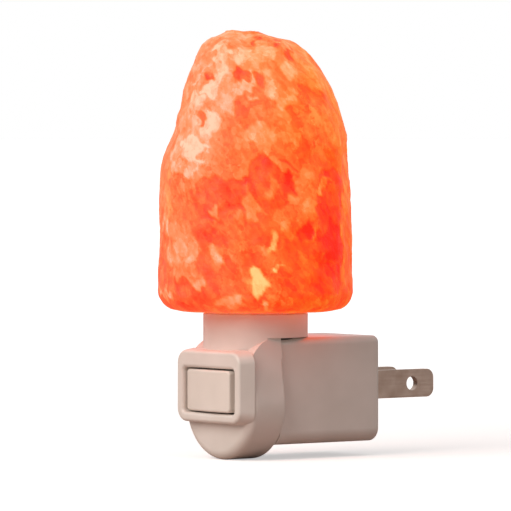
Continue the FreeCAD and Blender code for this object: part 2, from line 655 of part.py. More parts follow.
def plug_blade(name, side):
    half = "(0.5 * blade_width)"
    shoulder = "(0.5 * shoulder_width)"
    tail = "(0.5 * blade_tail_width)"
    stop = f"({PLUG_FACE} - wall - fit_gap)"
    tip = f"({PLUG_FACE} + blade_reach)"
    upper = [(tip, half), (stop, half), (stop, shoulder), (f"{stop} - shoulder_depth", shoulder),
             (f"{stop} - shoulder_depth", tail), (BLADE_END, tail)]
    lower = [(y, f"-({z})") for y, z in reversed(upper)]
    blade = pressed(name + "_strip", "YZ_Plane", upper + lower, "blade_thickness")
    sketch = blade.newObject("Sketcher::SketchObject", name + "_hole_place")
    face = [part for part in blade.Origin.OriginFeatures if part.Role == "YZ_Plane"][0]
    sketch.AttachmentSupport = [(face, "")]
    sketch.MapMode = "FlatFace"
    centre = f"({PLUG_FACE} + hole_reach)"
    circle = Part.Circle(Vector(number(centre), 0, 0), Vector(0, 0, 1), number("hole_radius"))
    sketch.addGeometry(circle, False)
    for kind, text, value in (("DistanceX", centre, number(centre)), ("DistanceY", "0", 0.0)):
        tie = sketch.addConstraint(Sketcher.Constraint(kind, -1, 1, 0, 3, value))
        sketch.setExpression(f"Constraints[{tie}]", formula(text))
    tie = sketch.addConstraint(Sketcher.Constraint("Radius", 0, number("hole_radius")))
    sketch.setExpression(f"Constraints[{tie}]", formula("hole_radius"))
    pocket = blade.newObject("PartDesign::Pocket", name + "_hole")
    pocket.Profile = sketch
    pocket.Midplane = True
    bind(pocket, Length="3 * blade_thickness")
    end = on_plane("Y", tip)
    rounded = softened(name, blade, "blade_round",
                       lambda edge: end(edge) and edge.BoundBox.ZLength < 0.01)
    finish(rounded, name, x=f"{side} * blade_spacing")


def blade_retainer():
    side = f"({BOX_SIDE} - wall - retainer_gap)"
    plate = box("retainer_plate", (f"-{side}", side), (RETAINER_FRONT, RETAINER_BACK),
                ("-retainer_half_height", "retainer_half_height"))
    plate = softened("retainer_round", plate, "0.5 * retainer_thickness",
                     lambda edge: edge.BoundBox.YLength > 1)
    ways = []
    for name, side in (("hot", "0.5"), ("neutral", "-0.5")):
        middle = f"({side} * blade_spacing)"
        half = "(0.5 * blade_thickness + fit_gap)"
        rise = "(0.5 * blade_tail_width + fit_gap)"
        ways.append(box(f"retainer_{name}", (f"({middle} - {half})", f"({middle} + {half})"),
                        (f"({RETAINER_FRONT} - 1)", f"({RETAINER_BACK} + 1)"), (f"-{rise}", rise)))
    for side, sign in UPPER_LOWER:
        ways.append(rod(f"retainer_hole_{side}", "(small_screw_radius + fit_gap)",
                        (f"({RETAINER_FRONT} - 1)", f"({RETAINER_BACK} + 1)"), "y",
                        ("0", f"{sign}small_screw_rise")))
    finish(cut("blade_retainer", plate, *ways), "blade_retainer")


# Rocker, drawn level about its pivot and then tilted to the lit position

def rocker_button():
    face = rod("rocker_face", "rocker_bow", ("-rocker_half_height", "rocker_half_height"), "z",
               ("0", "(rocker_bow - rocker_crown)"))
    block = box("rocker_block", (f"-{ROCKER_HALF}", ROCKER_HALF),
                ("-2 * rocker_crown", "-rocker_back"), ("-rocker_half_height", "rocker_half_height"))
    block = shared("rocker_pillow", block, face)
    block = softened("rocker_corners", block, "rocker_corner",
                     lambda edge: edge.BoundBox.YLength > 1 and edge.BoundBox.XLength < 0.01)
    back = on_plane("Y", "-rocker_back")
    block = softened("rocker_front", block, "rocker_edge",
                     lambda edge: edge.BoundBox.YMax < number("-rocker_back - 1") and not back(edge))
    pockets = []
    outer = f"({ROCKER_HALF} - rocker_wall)"
    for side, low, high in (("right", "hub_radius", outer), ("left", f"-{outer}", "-hub_radius")):
        pockets.append(box(f"rocker_pocket_{side}", (low, high), ("(1.5 * rocker_wall - rocker_crown)", "0"),
                           ("(rocker_wall - rocker_half_height)", "(rocker_half_height - rocker_wall)")))
    block = cut("rocker_cored", block, *pockets)
    web = box("rocker_web", ("-hub_radius", "hub_radius"), ("-(rocker_back + 0.5 * rocker_wall)", "0"),
              ("-hub_half_height", "hub_half_height"))
    hub = rod("rocker_hub", "hub_radius", ("-hub_half_height", "hub_half_height"))
    solid = joined("rocker_solid", block, web, hub)
    ways = [
        rod("plunger_way", "(plunger_radius + fit_gap)", ("-plunger_bore_end", "2 * hub_radius"), "y"),
        rod("pin_way_upper", "(pin_radius + solder_gap)", ("pin_inner", "2 * hub_half_height")),
        rod("pin_way_lower", "(pin_radius + solder_gap)", ("-2 * hub_half_height", "-pin_inner")),
    ]
    in_rocker(cut("rocker_button", solid, *ways), "rocker_button")


def in_rocker(piece, name):
    """Finish a piece that tilts with the rocker."""
    finish(piece, name, y=PIVOT, z=SWITCH, turn="-rocker_tilt")


def rocker_pins():
    far = "(frame_half_height - fit_gap)"
    pins = doc.addObject("Part::Compound", "rocker_pins")
    pins.Links = [rod("upper_pin", "pin_radius", ("(pin_inner + solder_gap)", far)),
                  rod("lower_pin", "pin_radius", (f"-{far}", "-(pin_inner + solder_gap)"))]
    in_rocker(pins, "rocker_pins")


def rocker_plunger():
    tip = "(plunger_reach - plunger_gap - plunger_radius)"
    shank = rod("plunger_shank", "plunger_radius", ("plunger_tail", tip), "y")
    in_rocker(joined("rocker_plunger", shank, ball("plunger_tip", "plunger_radius", y=tip)), "rocker_plunger")


def rocker_spring():
    room = "(plunger_bore_end + plunger_tail - 2 * spring_wire - 2 * solder_gap)"
    coil = winding("spring_coil", "spring_radius", f"({room} / spring_turns)", "spring_turns", "spring_wire")
    stand(coil, y="(spring_wire + solder_gap - plunger_bore_end)", axis=(1, 0, 0), angle=-90)
    group = doc.addObject("Part::Compound", "rocker_spring")
    group.Links = [coil]
    in_rocker(group, "rocker_spring")


# Switch frame: ring behind the bezel, ears for the pins and a base for the terminals

def switch_frame():
    front = f"({INNER_FRONT} + 0.5 * fit_gap)"
    edge = half_width("(wall + fit_gap)", f"(ring_half_height + {SWITCH})")
    ring = box("frame_ring", (f"-{edge}", edge), (front, f"({front} + ring_thickness)"),
               ("-ring_half_height", "ring_half_height"))
    window = box("frame_window", (f"-({ROCKER_HALF} + 2 * fit_gap)", f"({ROCKER_HALF} + 2 * fit_gap)"),
                 (f"({front} - 1)", f"({front} + 2 * ring_thickness)"),
                 ("-(rocker_half_height + fit_gap)", "(rocker_half_height + fit_gap)"))
    pieces = [cut("frame_open_ring", ring, window)]
    inner = "(frame_half_height - ear_thickness)"
    for side, low, high in (("upper", inner, "frame_half_height"),
                            ("lower", "-frame_half_height", f"-{inner}")):
        pieces.append(box(f"{side}_ear", ("-ear_half_width", "ear_half_width"),
                          (front, f"({front} + ear_length + 0.5)"), (low, high)))
        pieces.append(box(f"{side}_plate", ("-frame_half_width", "frame_half_width"),
                          (f"({front} + ear_length)", f"({BASE_FACE} + 0.2)"), (low, high)))
    side = f"({BOX_SIDE} - wall - fit_gap)"
    pieces.append(box("frame_base", (f"-{side}", side), (BASE_FACE, BASE_BACK),
                      ("-frame_half_height", "frame_half_height")))
    pieces.append(rod("lever_stop", "contact_radius",
                      (f"({LEVER_BACK} + (contact_arm + contact_radius) * sin(lever_tilt) + contact_gap)",
                       f"({BASE_FACE} + 0.2)"), "y", ("-contact_arm", "0")))
    through = (f"({BASE_FACE} - 1)", f"({BASE_BACK} + 1)")
    slit = ("-(0.5 * strip + fit_gap)", "(0.5 * strip + fit_gap)")
    tail = "(tail_half_width + fit_gap)"
    ways = [
        rod("pin_bearing", "(pin_radius + run_gap)", ("-2 * frame_half_height", "2 * frame_half_height"), "z",
            ("0", PIVOT)),
        box("fulcrum_slot", (f"-{tail}", tail), through, slit),
        box("fixed_slot", (f"(contact_arm - {tail})", f"(contact_arm + {tail})"), through, slit),
    ]
    finish(cut("switch_frame", joined("frame_solid", *pieces), *ways), "switch_frame", z=SWITCH)


# Contact lever, drawn flat about its pivot line and then tilted to the closed position

def contact_lever():
    lever = pressed("contact_lever", "XY_Plane", [
        ("-lever_half_length", "-lever_thickness"), ("lever_half_length", "-lever_thickness"),
        ("lever_half_length", "0"), ("-lever_half_length", "0")], "2 * lever_half_width")
    finish(lever, "contact_lever", y=LEVER_BACK, z=SWITCH, turn="lever_tilt")


def moving_contact():
    head = rod("moving_head", "contact_radius", ("solder_gap", "contact_height"), "y", ("contact_arm", "0"))
    head = softened("moving_contact", head, "0.4 * contact_height", on_plane("Y", "contact_height"))
    finish(head, "moving_contact", y=LEVER_BACK, z=SWITCH, turn="lever_tilt")


def terminal(name, extras):
    """Foot on the frame's base with a tail through it, about the middle of the tail."""
    foot = box(name + "_foot", ("-terminal_foot", "terminal_foot"), (f"({BASE_FACE} - strip)", BASE_FACE),
               ("-terminal_half_width", "terminal_half_width"))
    depth = (f"({BASE_FACE} - 0.5 * strip)", f"({BASE_FACE} + terminal_tail)")
    tail = box(name + "_tail", ("-tail_half_width", "tail_half_width"), depth,
               ("-0.5 * strip", "0.5 * strip"))
    return joined(name, foot, tail, *extras)


def fulcrum_terminal():
    ridge = f"({LEVER_BACK} + 0.5 * strip + solder_gap)"
    height = ("-terminal_half_width", "terminal_half_width")
    extras = [
        rod("fulcrum_ridge", "0.5 * strip", height, "z", ("0", ridge)),
        box("fulcrum_post", ("-0.5 * strip", "0.5 * strip"), (ridge, BASE_FACE), height),
    ]
    finish(terminal("fulcrum_terminal", extras), "fulcrum_terminal", z=SWITCH)


def fixed_terminal():
    finish(terminal("fixed_terminal", []), "fixed_terminal", x="contact_arm", z=SWITCH)


def fixed_contact():
    top = (f"({LEVER_BACK} + (contact_arm + contact_radius) * sin(lever_tilt)"
           " + contact_height * cos(lever_tilt) + contact_gap)")
    head = rod("fixed_head", "contact_radius", (top, f"({BASE_FACE} - strip - solder_gap)"), "y")
    finish(softened("fixed_contact", head, "0.4 * contact_height", on_plane("Y", top)), "fixed_contact",
           x="contact_arm", z=SWITCH)


# Lamp socket: an insulating holder in the neck, a threaded shell and two contacts

def socket_holder():
    top = f"({SPIGOT_TOP} - lip_thickness - fit_gap)"
    floor = f"({HOLDER_LOW} + holder_floor)"
    rib_low = f"({HOLDER_LOW} + holder_rib_rise)"
    rib = "(neck_radius - wall - fit_gap)"
    holder = turned("holder_turned", [
        ("0", HOLDER_LOW), (HOLDER_RADIUS, HOLDER_LOW), (HOLDER_RADIUS, rib_low), (rib, rib_low),
        (rib, f"{rib_low} + holder_rib"), (HOLDER_RADIUS, f"{rib_low} + holder_rib"), (HOLDER_RADIUS, top),
        (HOLDER_INSIDE, top), (HOLDER_INSIDE, floor), ("0", floor)])
    below = f"({HOLDER_LOW} - 1)"
    ways = [
        box("centre_slot", ("-(strip_half_width + fit_gap)", "(strip_half_width + fit_gap)"),
            ("(tail_setback - fit_gap)", "(tail_setback + spring_strip + fit_gap)"),
            (below, f"({HOLDER_LOW} + 2 * holder_floor)")),
        shell_slot("shell_slot", "fit_gap", below, f"({rib_low} + fit_gap)"),
    ]
    finish(cut("socket_holder", holder, *ways), "socket_holder")


def shell_slot(name, gap, low, high):
    """Strip that lies on the threaded shell, behind and to the left."""
    inner = f"({SHELL_INSIDE} + shell_wall + solder_gap)"
    block = box(name, (f"-(strip_half_width + {gap})", f"(strip_half_width + {gap})"),
                (f"({inner} - {gap})", f"({inner} + strip + {gap})"), (low, high))
    corner = doc.addObject("Part::Compound", name + "_turned")
    corner.Links = [block]
    bind(stand(corner), Placement__Rotation__Angle="strip_turn")
    return corner


def shell_terminal():
    strip = shell_slot("shell_strip", "0", f"({HOLDER_LOW} - tail_drop)", f"({HOLDER_LOW} + holder_rib_rise)")
    group = doc.addObject("Part::Compound", "shell_terminal")
    group.Links = [strip]
    finish(group, "shell_terminal")


def centre_contact():
    floor = f"({HOLDER_LOW} + holder_floor + solder_gap)"
    back = "(tail_setback + spring_strip)"
    top = f"({BULB_TIP} - solder_gap)"
    spring = pressed("centre_contact", "YZ_Plane", [
        (back, f"{HOLDER_LOW} - tail_drop"), (back, f"{floor} + spring_strip"),
        ("0.4 * cap_radius", f"{floor} + spring_strip"), ("0.3 * tip_radius", top),
        ("-0.5 * tip_radius", top), ("-0.5 * tip_radius", f"{top} - spring_strip"),
        ("0.2 * tip_radius", f"{top} - spring_strip"),
        ("0.36 * cap_radius", floor), (f"{back} - spring_strip", floor),
        (f"{back} - spring_strip", f"{HOLDER_LOW} - tail_drop")], "2 * strip_half_width")
    finish(spring, "centre_contact")


THREAD_START = f"({BULB_TIP} + cap_low + 1)"


def threaded(name, tube_wall, radius, wire, start):
    """Tube fused with a rolled helical thread."""
    ridge = winding(name + "_thread", radius, "thread_pitch", "thread_turns", wire)
    stand(ridge, z=start)
    result = doc.addObject("Part::Fuse", name)
    result.Base = tube_wall
    result.Tool = ridge
    return result


def socket_shell():
    low = f"({HOLDER_LOW} + holder_floor + shell_rise)"
    high = f"({SPIGOT_TOP} - lip_thickness - 2 * fit_gap)"
    tunnel = cut("shell_tube", rod("shell_outside", f"({SHELL_INSIDE} + shell_wall)", (low, high)),
                 rod("shell_inside", SHELL_INSIDE, (f"({low} - 1)", f"({high} + 1)")))
    middle = f"({SHELL_INSIDE} + 0.8 * shell_wall - shell_ridge)"
    shell = threaded("socket_shell", tunnel, middle, "shell_ridge", f"({THREAD_START} - 0.5 * thread_pitch)")
    finish(shell, "socket_shell")


# Bulb, drawn in place; its solder tip is the one piece that rises without turning

def bulb_tip():
    tip = turned("bulb_tip", [
        ("0", BULB_TIP), ("0.5 * tip_radius", BULB_TIP), ("tip_radius", f"{BULB_TIP} + 0.5 * tip_height"),
        ("tip_radius", f"{BULB_TIP} + tip_height"), ("0", f"{BULB_TIP} + tip_height")])
    finish(tip, "bulb_tip")


def bulb_insulator():
    low = f"{BULB_TIP} + tip_height + solder_gap"
    high = f"{BULB_TIP} + cap_low + cap_wall"
    insulator = turned("bulb_insulator", [
        ("0", low), ("1.1 * tip_radius", low), ("cap_radius - 5 * cap_wall", high), ("0", high)])
    finish(insulator, "bulb_insulator")


def bulb_cap():
    low = f"({BULB_TIP} + cap_low)"
    high = f"({low} + cap_height)"
    blank = rod("cap_outside", "cap_radius", (low, high))
    solid = threaded("cap_threaded", blank, "cap_radius", "thread_round", THREAD_START)
    inside = rod("cap_inside", "(cap_radius - cap_wall)", (f"({low} + cap_wall)", f"({high} + 1)"))
    foot = (f"({low} - 1)", f"({low} + 2 * cap_wall)")
    foot_hole = rod("cap_foot_hole", "(cap_radius - 4 * cap_wall)", foot)
    finish(cut("bulb_cap", solid, inside, foot_hole), "bulb_cap")


def glass_envelope(name, inset):
    """Bulb's outer form, or the same form inside the glass."""
    foot = f"({BULB_TIP} + glass_start - {inset})"
    flare = f"({BULB_TIP} + glass_shoulder)"
    barrel = f"({flare} + glass_flare)"
    dome = f"({BULB_TIP} + bulb_length - bulb_radius)"
    narrow = f"(glass_neck - {inset})"
    wide = f"(bulb_radius - {inset})"
    return joined(name,
                  rod(name + "_neck", narrow, (foot, flare)),
                  taper(name + "_flare", (narrow, wide), (flare, barrel)),
                  rod(name + "_barrel", wide, (barrel, dome)),
                  ball(name + "_dome", wide, z=dome))


def bulb_glass():
    finish(cut("bulb_glass", glass_envelope("glass_outside", "0"), glass_envelope("glass_inside", "glass")),
           "bulb_glass")


STEM_LOW = f"({BULB_TIP} + glass_start + solder_gap)"
STEM_TOP = f"({STEM_LOW} + stem_height)"


def bulb_stem():
    stem = turned("bulb_stem", [
        ("0", STEM_LOW), ("stem_foot", STEM_LOW), ("stem_foot", f"{STEM_LOW} + glass"),
        ("stem_radius", f"{STEM_LOW} + 0.35 * stem_height"),
        ("0.8 * stem_radius", f"{STEM_TOP} - stem_radius"),
        ("stem_radius", f"{STEM_TOP} - 0.5 * stem_radius"), ("stem_radius", STEM_TOP), ("0", STEM_TOP)])
    finish(stem, "bulb_stem")


def lamp_wires(name, start, far, radius):
    """Mirror pair of bent wires that stand on the stem and end just below the filament."""
    pair = doc.addObject("Part::Compound", name)
    foot = f"{STEM_TOP} + solder_gap"
    rise = "(filament_rise - 2 * filament_radius)"
    pair.Links = [tube(f"{name}_{side}", [
        (f"{sign}{start}", "0", foot), (f"{sign}{start}", "0", f"{STEM_TOP} + 0.3 * {rise}"),
        (f"{sign}{far}", "0", f"{STEM_TOP} + {rise}")], radius, "lead_bend")
        for side, sign in RIGHT_LEFT]
    finish(pair, name)


def filament():
    pitch = "(2 * filament_half_length / filament_turns)"
    coil = winding("filament_coil", "filament_radius", pitch, "filament_turns", "filament_wire")
    stand(coil, x="-filament_half_length", z=f"({STEM_TOP} + filament_rise)", axis=(0, 1, 0), angle=90)
    group = doc.addObject("Part::Compound", "filament")
    group.Links = [coil]
    finish(group, "filament")


# Silicone grip and the salt crystal

def crystal_grip():
    inner = "spigot_radius + solder_gap"
    outer = "bore_radius - bore_clearance"
    waist = f"{outer} - bore_clearance"
    low = f"{NECK_SHOULDER} + solder_gap"
    finish(turned("crystal_grip", [
        (inner, low), (outer, low), (outer, f"{NECK_SHOULDER} + grip_flange"),
        (waist, f"{NECK_SHOULDER} + 2 * grip_flange"), (outer, f"{low} + 0.45 * grip_height"),
        (waist, f"{low} + 0.7 * grip_height"), (waist, f"{low} + grip_height"),
        (inner, f"{low} + grip_height")]), "crystal_grip")


# Levels of the crystal: height as a share of the whole, then its reach to the left and to the
# right of the photographed view, and towards and away from the viewer, each as a share of that
# side's largest reach.
LEVELS = [
    (0.080, 1.000, 1.005, 1.000, 1.000),
    (0.210, 0.990, 1.005, 1.000, 0.995),
    (0.380, 0.987, 0.985, 0.990, 0.985),
    (0.500, 0.971, 0.970, 0.965, 0.970),
    (0.550, 0.948, 0.962, 0.945, 0.955),
    (0.630, 0.859, 0.952, 0.900, 0.915),
    (0.720, 0.797, 0.893, 0.840, 0.850),
    (0.800, 0.747, 0.777, 0.775, 0.775),
    (0.886, 0.642, 0.616, 0.655, 0.660),
    (0.930, 0.588, 0.510, 0.565, 0.570),
    (0.950, 0.550, 0.445, 0.500, 0.500),
    (0.970, 0.480, 0.310, 0.390, 0.400),
    (0.993, 0.310, 0.050, 0.190, 0.200),
]
# Flats hewn into it: turn from the view's right towards its far side and lean upwards, in degrees,
# and depth below the furthest point that way, as a share of the usual depth.
FLATS = [
    (-48, 4, 1.1), (-132, 3, 1.0), (-98, 8, 0.6), (-72, 2, 0.6), (48, 5, 1.1),
    (134, 4, 1.0), (100, 6, 0.7), (72, 12, 0.6), (-92, 24, 0.7), (-58, 30, 0.9),
    (-124, 27, 0.9), (90, 26, 0.8), (56, 32, 0.9), (126, 28, 0.9), (-84, 50, 0.8),
    (-36, 46, 0.9), (-142, 44, 0.8), (84, 52, 0.9), (38, 46, 0.9), (140, 48, 0.8),
]
FACETS = 30
FOOT_STEPS = 3


def crystal_rings():
    """Rings of points from the sawn foot to near the top, about the neck axis."""
    base = number(CRYSTAL_BASE)
    height = number(CRYSTAL_TOP) - base
    foot = number("foot_round")
    sides = [number(name) for name in ("crystal_left", "crystal_right", "crystal_near", "crystal_far")]
    turn = math.radians(number("view_turn"))
    right = Vector(math.cos(turn), math.sin(turn), 0)
    away = Vector(-math.sin(turn), math.cos(turn), 0)
    upright = Vector(0, 0, 1)
    bends = [math.pi / 2 * step / FOOT_STEPS for step in range(FOOT_STEPS)]
    levels = [(foot * (1 - math.cos(bend)), foot * (1 - math.sin(bend)), LEVELS[0][1:]) for bend in bends]
    levels += [(rise * height, 0, shares) for rise, *shares in LEVELS]
    rings = []
    for step, (level, inset, shares) in enumerate(levels):
        left, across, near, far = [side * share for side, share in zip(sides, shares)]
        middle = right * ((across - left) / 2) + away * ((far - near) / 2)
        middle.z = base + level
        ring = []
        for index in range(FACETS):
            angle = 2 * math.pi * (index + 0.5 * (step % 2)) / FACETS
            swell = 1 / max(abs(math.cos(angle)), abs(math.sin(angle))) ** 0.22
            reach_right = math.cos(angle) * (swell * (left + across) / 2 - inset)
            reach_away = math.sin(angle) * (swell * (near + far) / 2 - inset)
            ring.append(middle + right * reach_right + away * reach_away)
        rings.append(ring)
    for turn, lean, share in FLATS:
        turn = math.radians(turn)
        lean = math.radians(lean)
        outward = right * math.cos(turn) + away * math.sin(turn)
        normal = outward * math.cos(lean) + upright * math.sin(lean)
        level = max(point.dot(normal) for ring in rings for point in ring) - share * number("hewn_depth")
        rings[1:] = [[point - normal * max(0, point.dot(normal) - level) for point in ring]
                     for ring in rings[1:]]
    return rings


def salt_crystal():
    rings = crystal_rings()
    top = sum(rings[-1], Vector()) * (1 / FACETS)
    top.z = number(CRYSTAL_TOP)
    corners = []
    for lower, upper, step in zip(rings, rings[1:], range(len(rings))):
        for index in range(FACETS):
            following = (index + 1) % FACETS
            quad = [lower[index], lower[following], upper[following], upper[index]]
            start = 0 if step % 2 else 1
            quad = quad[start:] + quad[:start]
            corners += [(quad[0], quad[1], quad[2]), (quad[2], quad[3], quad[0])]
    corners += [(start, end, top) for start, end in zip(rings[-1], rings[-1][1:] + rings[-1][:1])]
    faces = [Part.Face(Part.makePolygon([*three, three[0]])) for three in corners]
    faces.append(Part.Face(Part.makePolygon([*rings[0], rings[0][0]])))
    rock = doc.addObject("Part::Feature", "rock")
    rock.Shape = Part.Solid(Part.Shell(faces))
    bore = rod("bore", "bore_radius", (f"({CRYSTAL_BASE} - 1)", BORE_END))
    finish(cut("salt_crystal", rock, bore), "salt_crystal")


# Insulated wires inside the plug box

def wiring():
    tail = f"{BASE_FACE} + terminal_tail + solder_gap"
    blade = f"{BLADE_END} - solder_gap"
    line = tube("wire_line", [
        ("0", tail, SWITCH), ("0", f"{tail} + line_run", SWITCH),
        ("0.5 * blade_spacing", f"{tail} + line_run + line_cross", "0"),
        ("0.5 * blade_spacing", blade, "0")], "wire_radius", "wire_bend")
    finish(line, "wire_line")
    level = f"{HOLDER_LOW} - 0.75 * tail_drop"
    back = "tail_setback + spring_strip + solder_gap"
    switched = tube("wire_switched", [
        ("contact_arm", tail, SWITCH), ("contact_arm", f"{tail} + switched_run", SWITCH),
        ("0", f"{tail} + switched_run", level), ("0", back, level)], "wire_radius", "wire_bend")
    finish(switched, "wire_switched")
    reach = f"({SHELL_INSIDE} + shell_wall + strip + 3 * solder_gap)"
    beyond = f"({SHELL_INSIDE} + shell_wall + strip + neutral_bow)"
    neutral = tube("wire_neutral", [
        ("-0.5 * blade_spacing", blade, "0"), ("-0.5 * blade_spacing", f"{blade} - neutral_run", "0"),
        (f"-{beyond} * sin(strip_turn)", f"{beyond} * cos(strip_turn)", level),
        (f"-{reach} * sin(strip_turn)", f"{reach} * cos(strip_turn)", level)], "wire_radius", "wire_bend")
    finish(neutral, "wire_neutral")


front_housing()
rear_housing()
housing_screws()
plug_blade("plug_blade_hot", "0.5")
plug_blade("plug_blade_neutral", "-0.5")
blade_retainer()
retainer_screws()
rocker_button()
rocker_pins()
rocker_plunger()
rocker_spring()
switch_frame()
contact_lever()
moving_contact()
fulcrum_terminal()
fixed_terminal()
fixed_contact()
socket_holder()
socket_shell()
shell_terminal()
centre_contact()
bulb_tip()
bulb_insulator()
bulb_cap()
bulb_glass()
bulb_stem()
lamp_wires("bulb_leads", "lead_spread", "filament_half_length", "lead_wire")
lamp_wires("filament_supports", "0.4 * lead_spread", "0.4 * filament_half_length", "support_wire")
filament()
crystal_grip()
salt_crystal()
wiring()
doc.recompute()

for item in doc.Objects:
    if "Invalid" in item.State or "Error" in item.State:
        raise RuntimeError(f"{item.Label} did not compute: {item.State}")
os.makedirs("parts", exist_ok=True)
for piece in finished:
    shape = piece.Shape
    if shape.isNull() or not shape.isValid() or not shape.Solids:
        raise RuntimeError(f"{piece.Label} has no valid solid")
    shape.exportStep(f"parts/{piece.Label}.step")
    bound = shape.BoundBox
    print(f"{piece.Label}: {len(shape.Solids)} solids, {shape.Volume:.1f} mm3, "
          f"y {bound.YMin:.2f} to {bound.YMax:.2f}, z {bound.ZMin:.2f} to {bound.ZMax:.2f}")
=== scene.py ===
"""A plug-in salt crystal night light, finished piece by piece in the order it is put together."""
import itertools
import math

import bpy
import numpy as np
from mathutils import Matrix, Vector


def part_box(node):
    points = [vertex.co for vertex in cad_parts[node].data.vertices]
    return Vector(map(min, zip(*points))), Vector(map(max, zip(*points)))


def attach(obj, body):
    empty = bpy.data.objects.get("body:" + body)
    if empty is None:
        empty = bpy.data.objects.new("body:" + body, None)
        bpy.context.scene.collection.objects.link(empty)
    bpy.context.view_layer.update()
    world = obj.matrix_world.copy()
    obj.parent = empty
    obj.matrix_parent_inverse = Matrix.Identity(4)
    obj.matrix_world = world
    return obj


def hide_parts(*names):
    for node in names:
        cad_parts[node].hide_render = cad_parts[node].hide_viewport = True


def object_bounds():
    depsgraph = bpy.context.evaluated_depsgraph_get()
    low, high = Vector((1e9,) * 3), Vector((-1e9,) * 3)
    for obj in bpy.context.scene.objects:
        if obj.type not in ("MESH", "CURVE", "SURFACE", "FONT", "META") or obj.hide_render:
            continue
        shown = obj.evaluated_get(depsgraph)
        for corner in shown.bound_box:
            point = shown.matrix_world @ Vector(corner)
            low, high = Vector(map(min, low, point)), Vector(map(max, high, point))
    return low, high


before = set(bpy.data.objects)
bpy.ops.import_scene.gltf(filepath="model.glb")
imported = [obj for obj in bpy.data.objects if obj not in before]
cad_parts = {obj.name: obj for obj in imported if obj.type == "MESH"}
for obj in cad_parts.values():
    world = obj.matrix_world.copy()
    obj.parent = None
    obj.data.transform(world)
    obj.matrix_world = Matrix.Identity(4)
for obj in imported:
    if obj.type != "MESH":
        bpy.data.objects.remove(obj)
cad_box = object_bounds()


# Plug blades
# Two flat blades stamped from brass strip and nickel plated, each with a shoulder behind the
# wall of the plug box and a hole near its tip. Stamping leaves faint lines along the strip.

def linear(code):
    """Linear colour of an sRGB hex value: each part is divided by 12.92 when dark, and otherwise
    moved by 0.055 and raised to the power 2.4."""
    parts = [int(code[place:place + 2], 16) / 255 for place in (1, 3, 5)]
    return [part / 12.92 if part <= 0.04045 else ((part + 0.055) / 1.055) ** 2.4 for part in parts] + [1.0]


def add(tree, kind, sockets=None, **settings):
    """One node with its settings; a socket gets a value, or the output that it is linked to."""
    node = tree.nodes.new(kind)
    for name, value in settings.items():
        setattr(node, name, value)
    for name, value in (sockets or {}).items():
        if isinstance(value, bpy.types.NodeSocket):
            tree.links.new(value, node.inputs[name])
        else:
            node.inputs[name].default_value = value
    return node


def noise(tree, place, size, detail):
    """Soft random value from 0 to 1, with features of that size in metres and finer ones within."""
    texture = add(tree, "ShaderNodeTexNoise", {"Vector": place, "Scale": 1 / size, "Detail": detail})
    return texture.outputs["Fac"]


def substance(name, **sockets):
    """A material of one shader with its constant values, and its node tree, shader and place."""
    made = bpy.data.materials.new(name)
    made.use_nodes = True
    tree = made.node_tree
    tree.nodes.clear()
    constants = {key.replace("_", " "): value for key, value in sockets.items()}
    shader = add(tree, "ShaderNodeBsdfPrincipled", constants)
    add(tree, "ShaderNodeOutputMaterial", {"Surface": shader.outputs[0]})
    place = add(tree, "ShaderNodeTexCoord").outputs["Object"]
    return made, tree, shader, place


def two_tone(tree, shader, factor, dark, pale, low=0.3, high=0.7):
    """Colour between two hex values as a factor goes from low to high."""
    ramp = add(tree, "ShaderNodeValToRGB", {"Fac": factor})
    for stop, position, code in zip(ramp.color_ramp.elements, (low, high), (dark, pale)):
        stop.position = position
        stop.color = linear(code)
    tree.links.new(ramp.outputs["Color"], shader.inputs["Base Color"])
    return ramp


def relief(tree, shader, height, depth):
    """Bump of a real depth in metres from a height between 0 and 1."""
    bump = add(tree, "ShaderNodeBump", {"Height": height, "Distance": depth})
    tree.links.new(bump.outputs["Normal"], shader.inputs["Normal"])


def roughen(tree, shader, factor, low, high):
    """Roughness between two values as a factor goes from 0 to 1."""
    spread = add(tree, "ShaderNodeMapRange", {"Value": factor, "To Min": low, "To Max": high})
    tree.links.new(spread.outputs["Result"], shader.inputs["Roughness"])


def dress(made, *names):
    """Give CAD nodes their material."""
    for name in names:
        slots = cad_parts[name].data.materials
        slots.clear()
        slots.append(made)


# Nickel plate over stamped brass: a warm grey metal, satin, with drawn lines 0.3 mm apart.
nickel_plated_brass, tree, shader, place = substance("nickel_plated_brass", Metallic=1.0)
along = add(tree, "ShaderNodeMapping", {"Vector": place, "Scale": (1.0, 0.06, 1.0)}).outputs[0]
lines = noise(tree, along, 0.0006, 3.0)
wear = noise(tree, place, 0.004, 2.0)
two_tone(tree, shader, wear, "#A08A7C", "#B7A497")
roughen(tree, shader, lines, 0.28, 0.5)
relief(tree, shader, lines, 0.00003)
dress(nickel_plated_brass, "plug_blade_hot", "plug_blade_neutral")


# Blade retainer and screws
# A phenolic plate clamps the blades' shoulders to the rear wall with two small screws. All
# screws, pins and the rocker's spring are zinc-plated steel, cold formed and slightly dull.

# Brown phenolic: moulded, dense, with a fine mottle of filler 0.5 mm across.
brown_phenolic, tree, shader, place = substance("brown_phenolic", IOR=1.6)
mottle = noise(tree, place, 0.001, 4.0)
two_tone(tree, shader, mottle, "#33251B", "#4A382A")
roughen(tree, shader, mottle, 0.35, 0.55)
dress(brown_phenolic, "blade_retainer", "switch_frame", "socket_holder", "rocker_plunger")

# Zinc-plated steel: blue-grey metal with a soft crystalline bloom about 0.8 mm across.
zinc_plated_steel, tree, shader, place = substance("zinc_plated_steel", Metallic=1.0)
bloom = add(tree, "ShaderNodeTexVoronoi", {"Vector": place, "Scale": 1 / 0.0008}).outputs["Distance"]
two_tone(tree, shader, bloom, "#9FA3A6", "#C0C3C4", 0.1, 0.9)
roughen(tree, shader, bloom, 0.3, 0.45)
dress(zinc_plated_steel, "housing_screws", "retainer_screws", "rocker_pins", "rocker_spring")


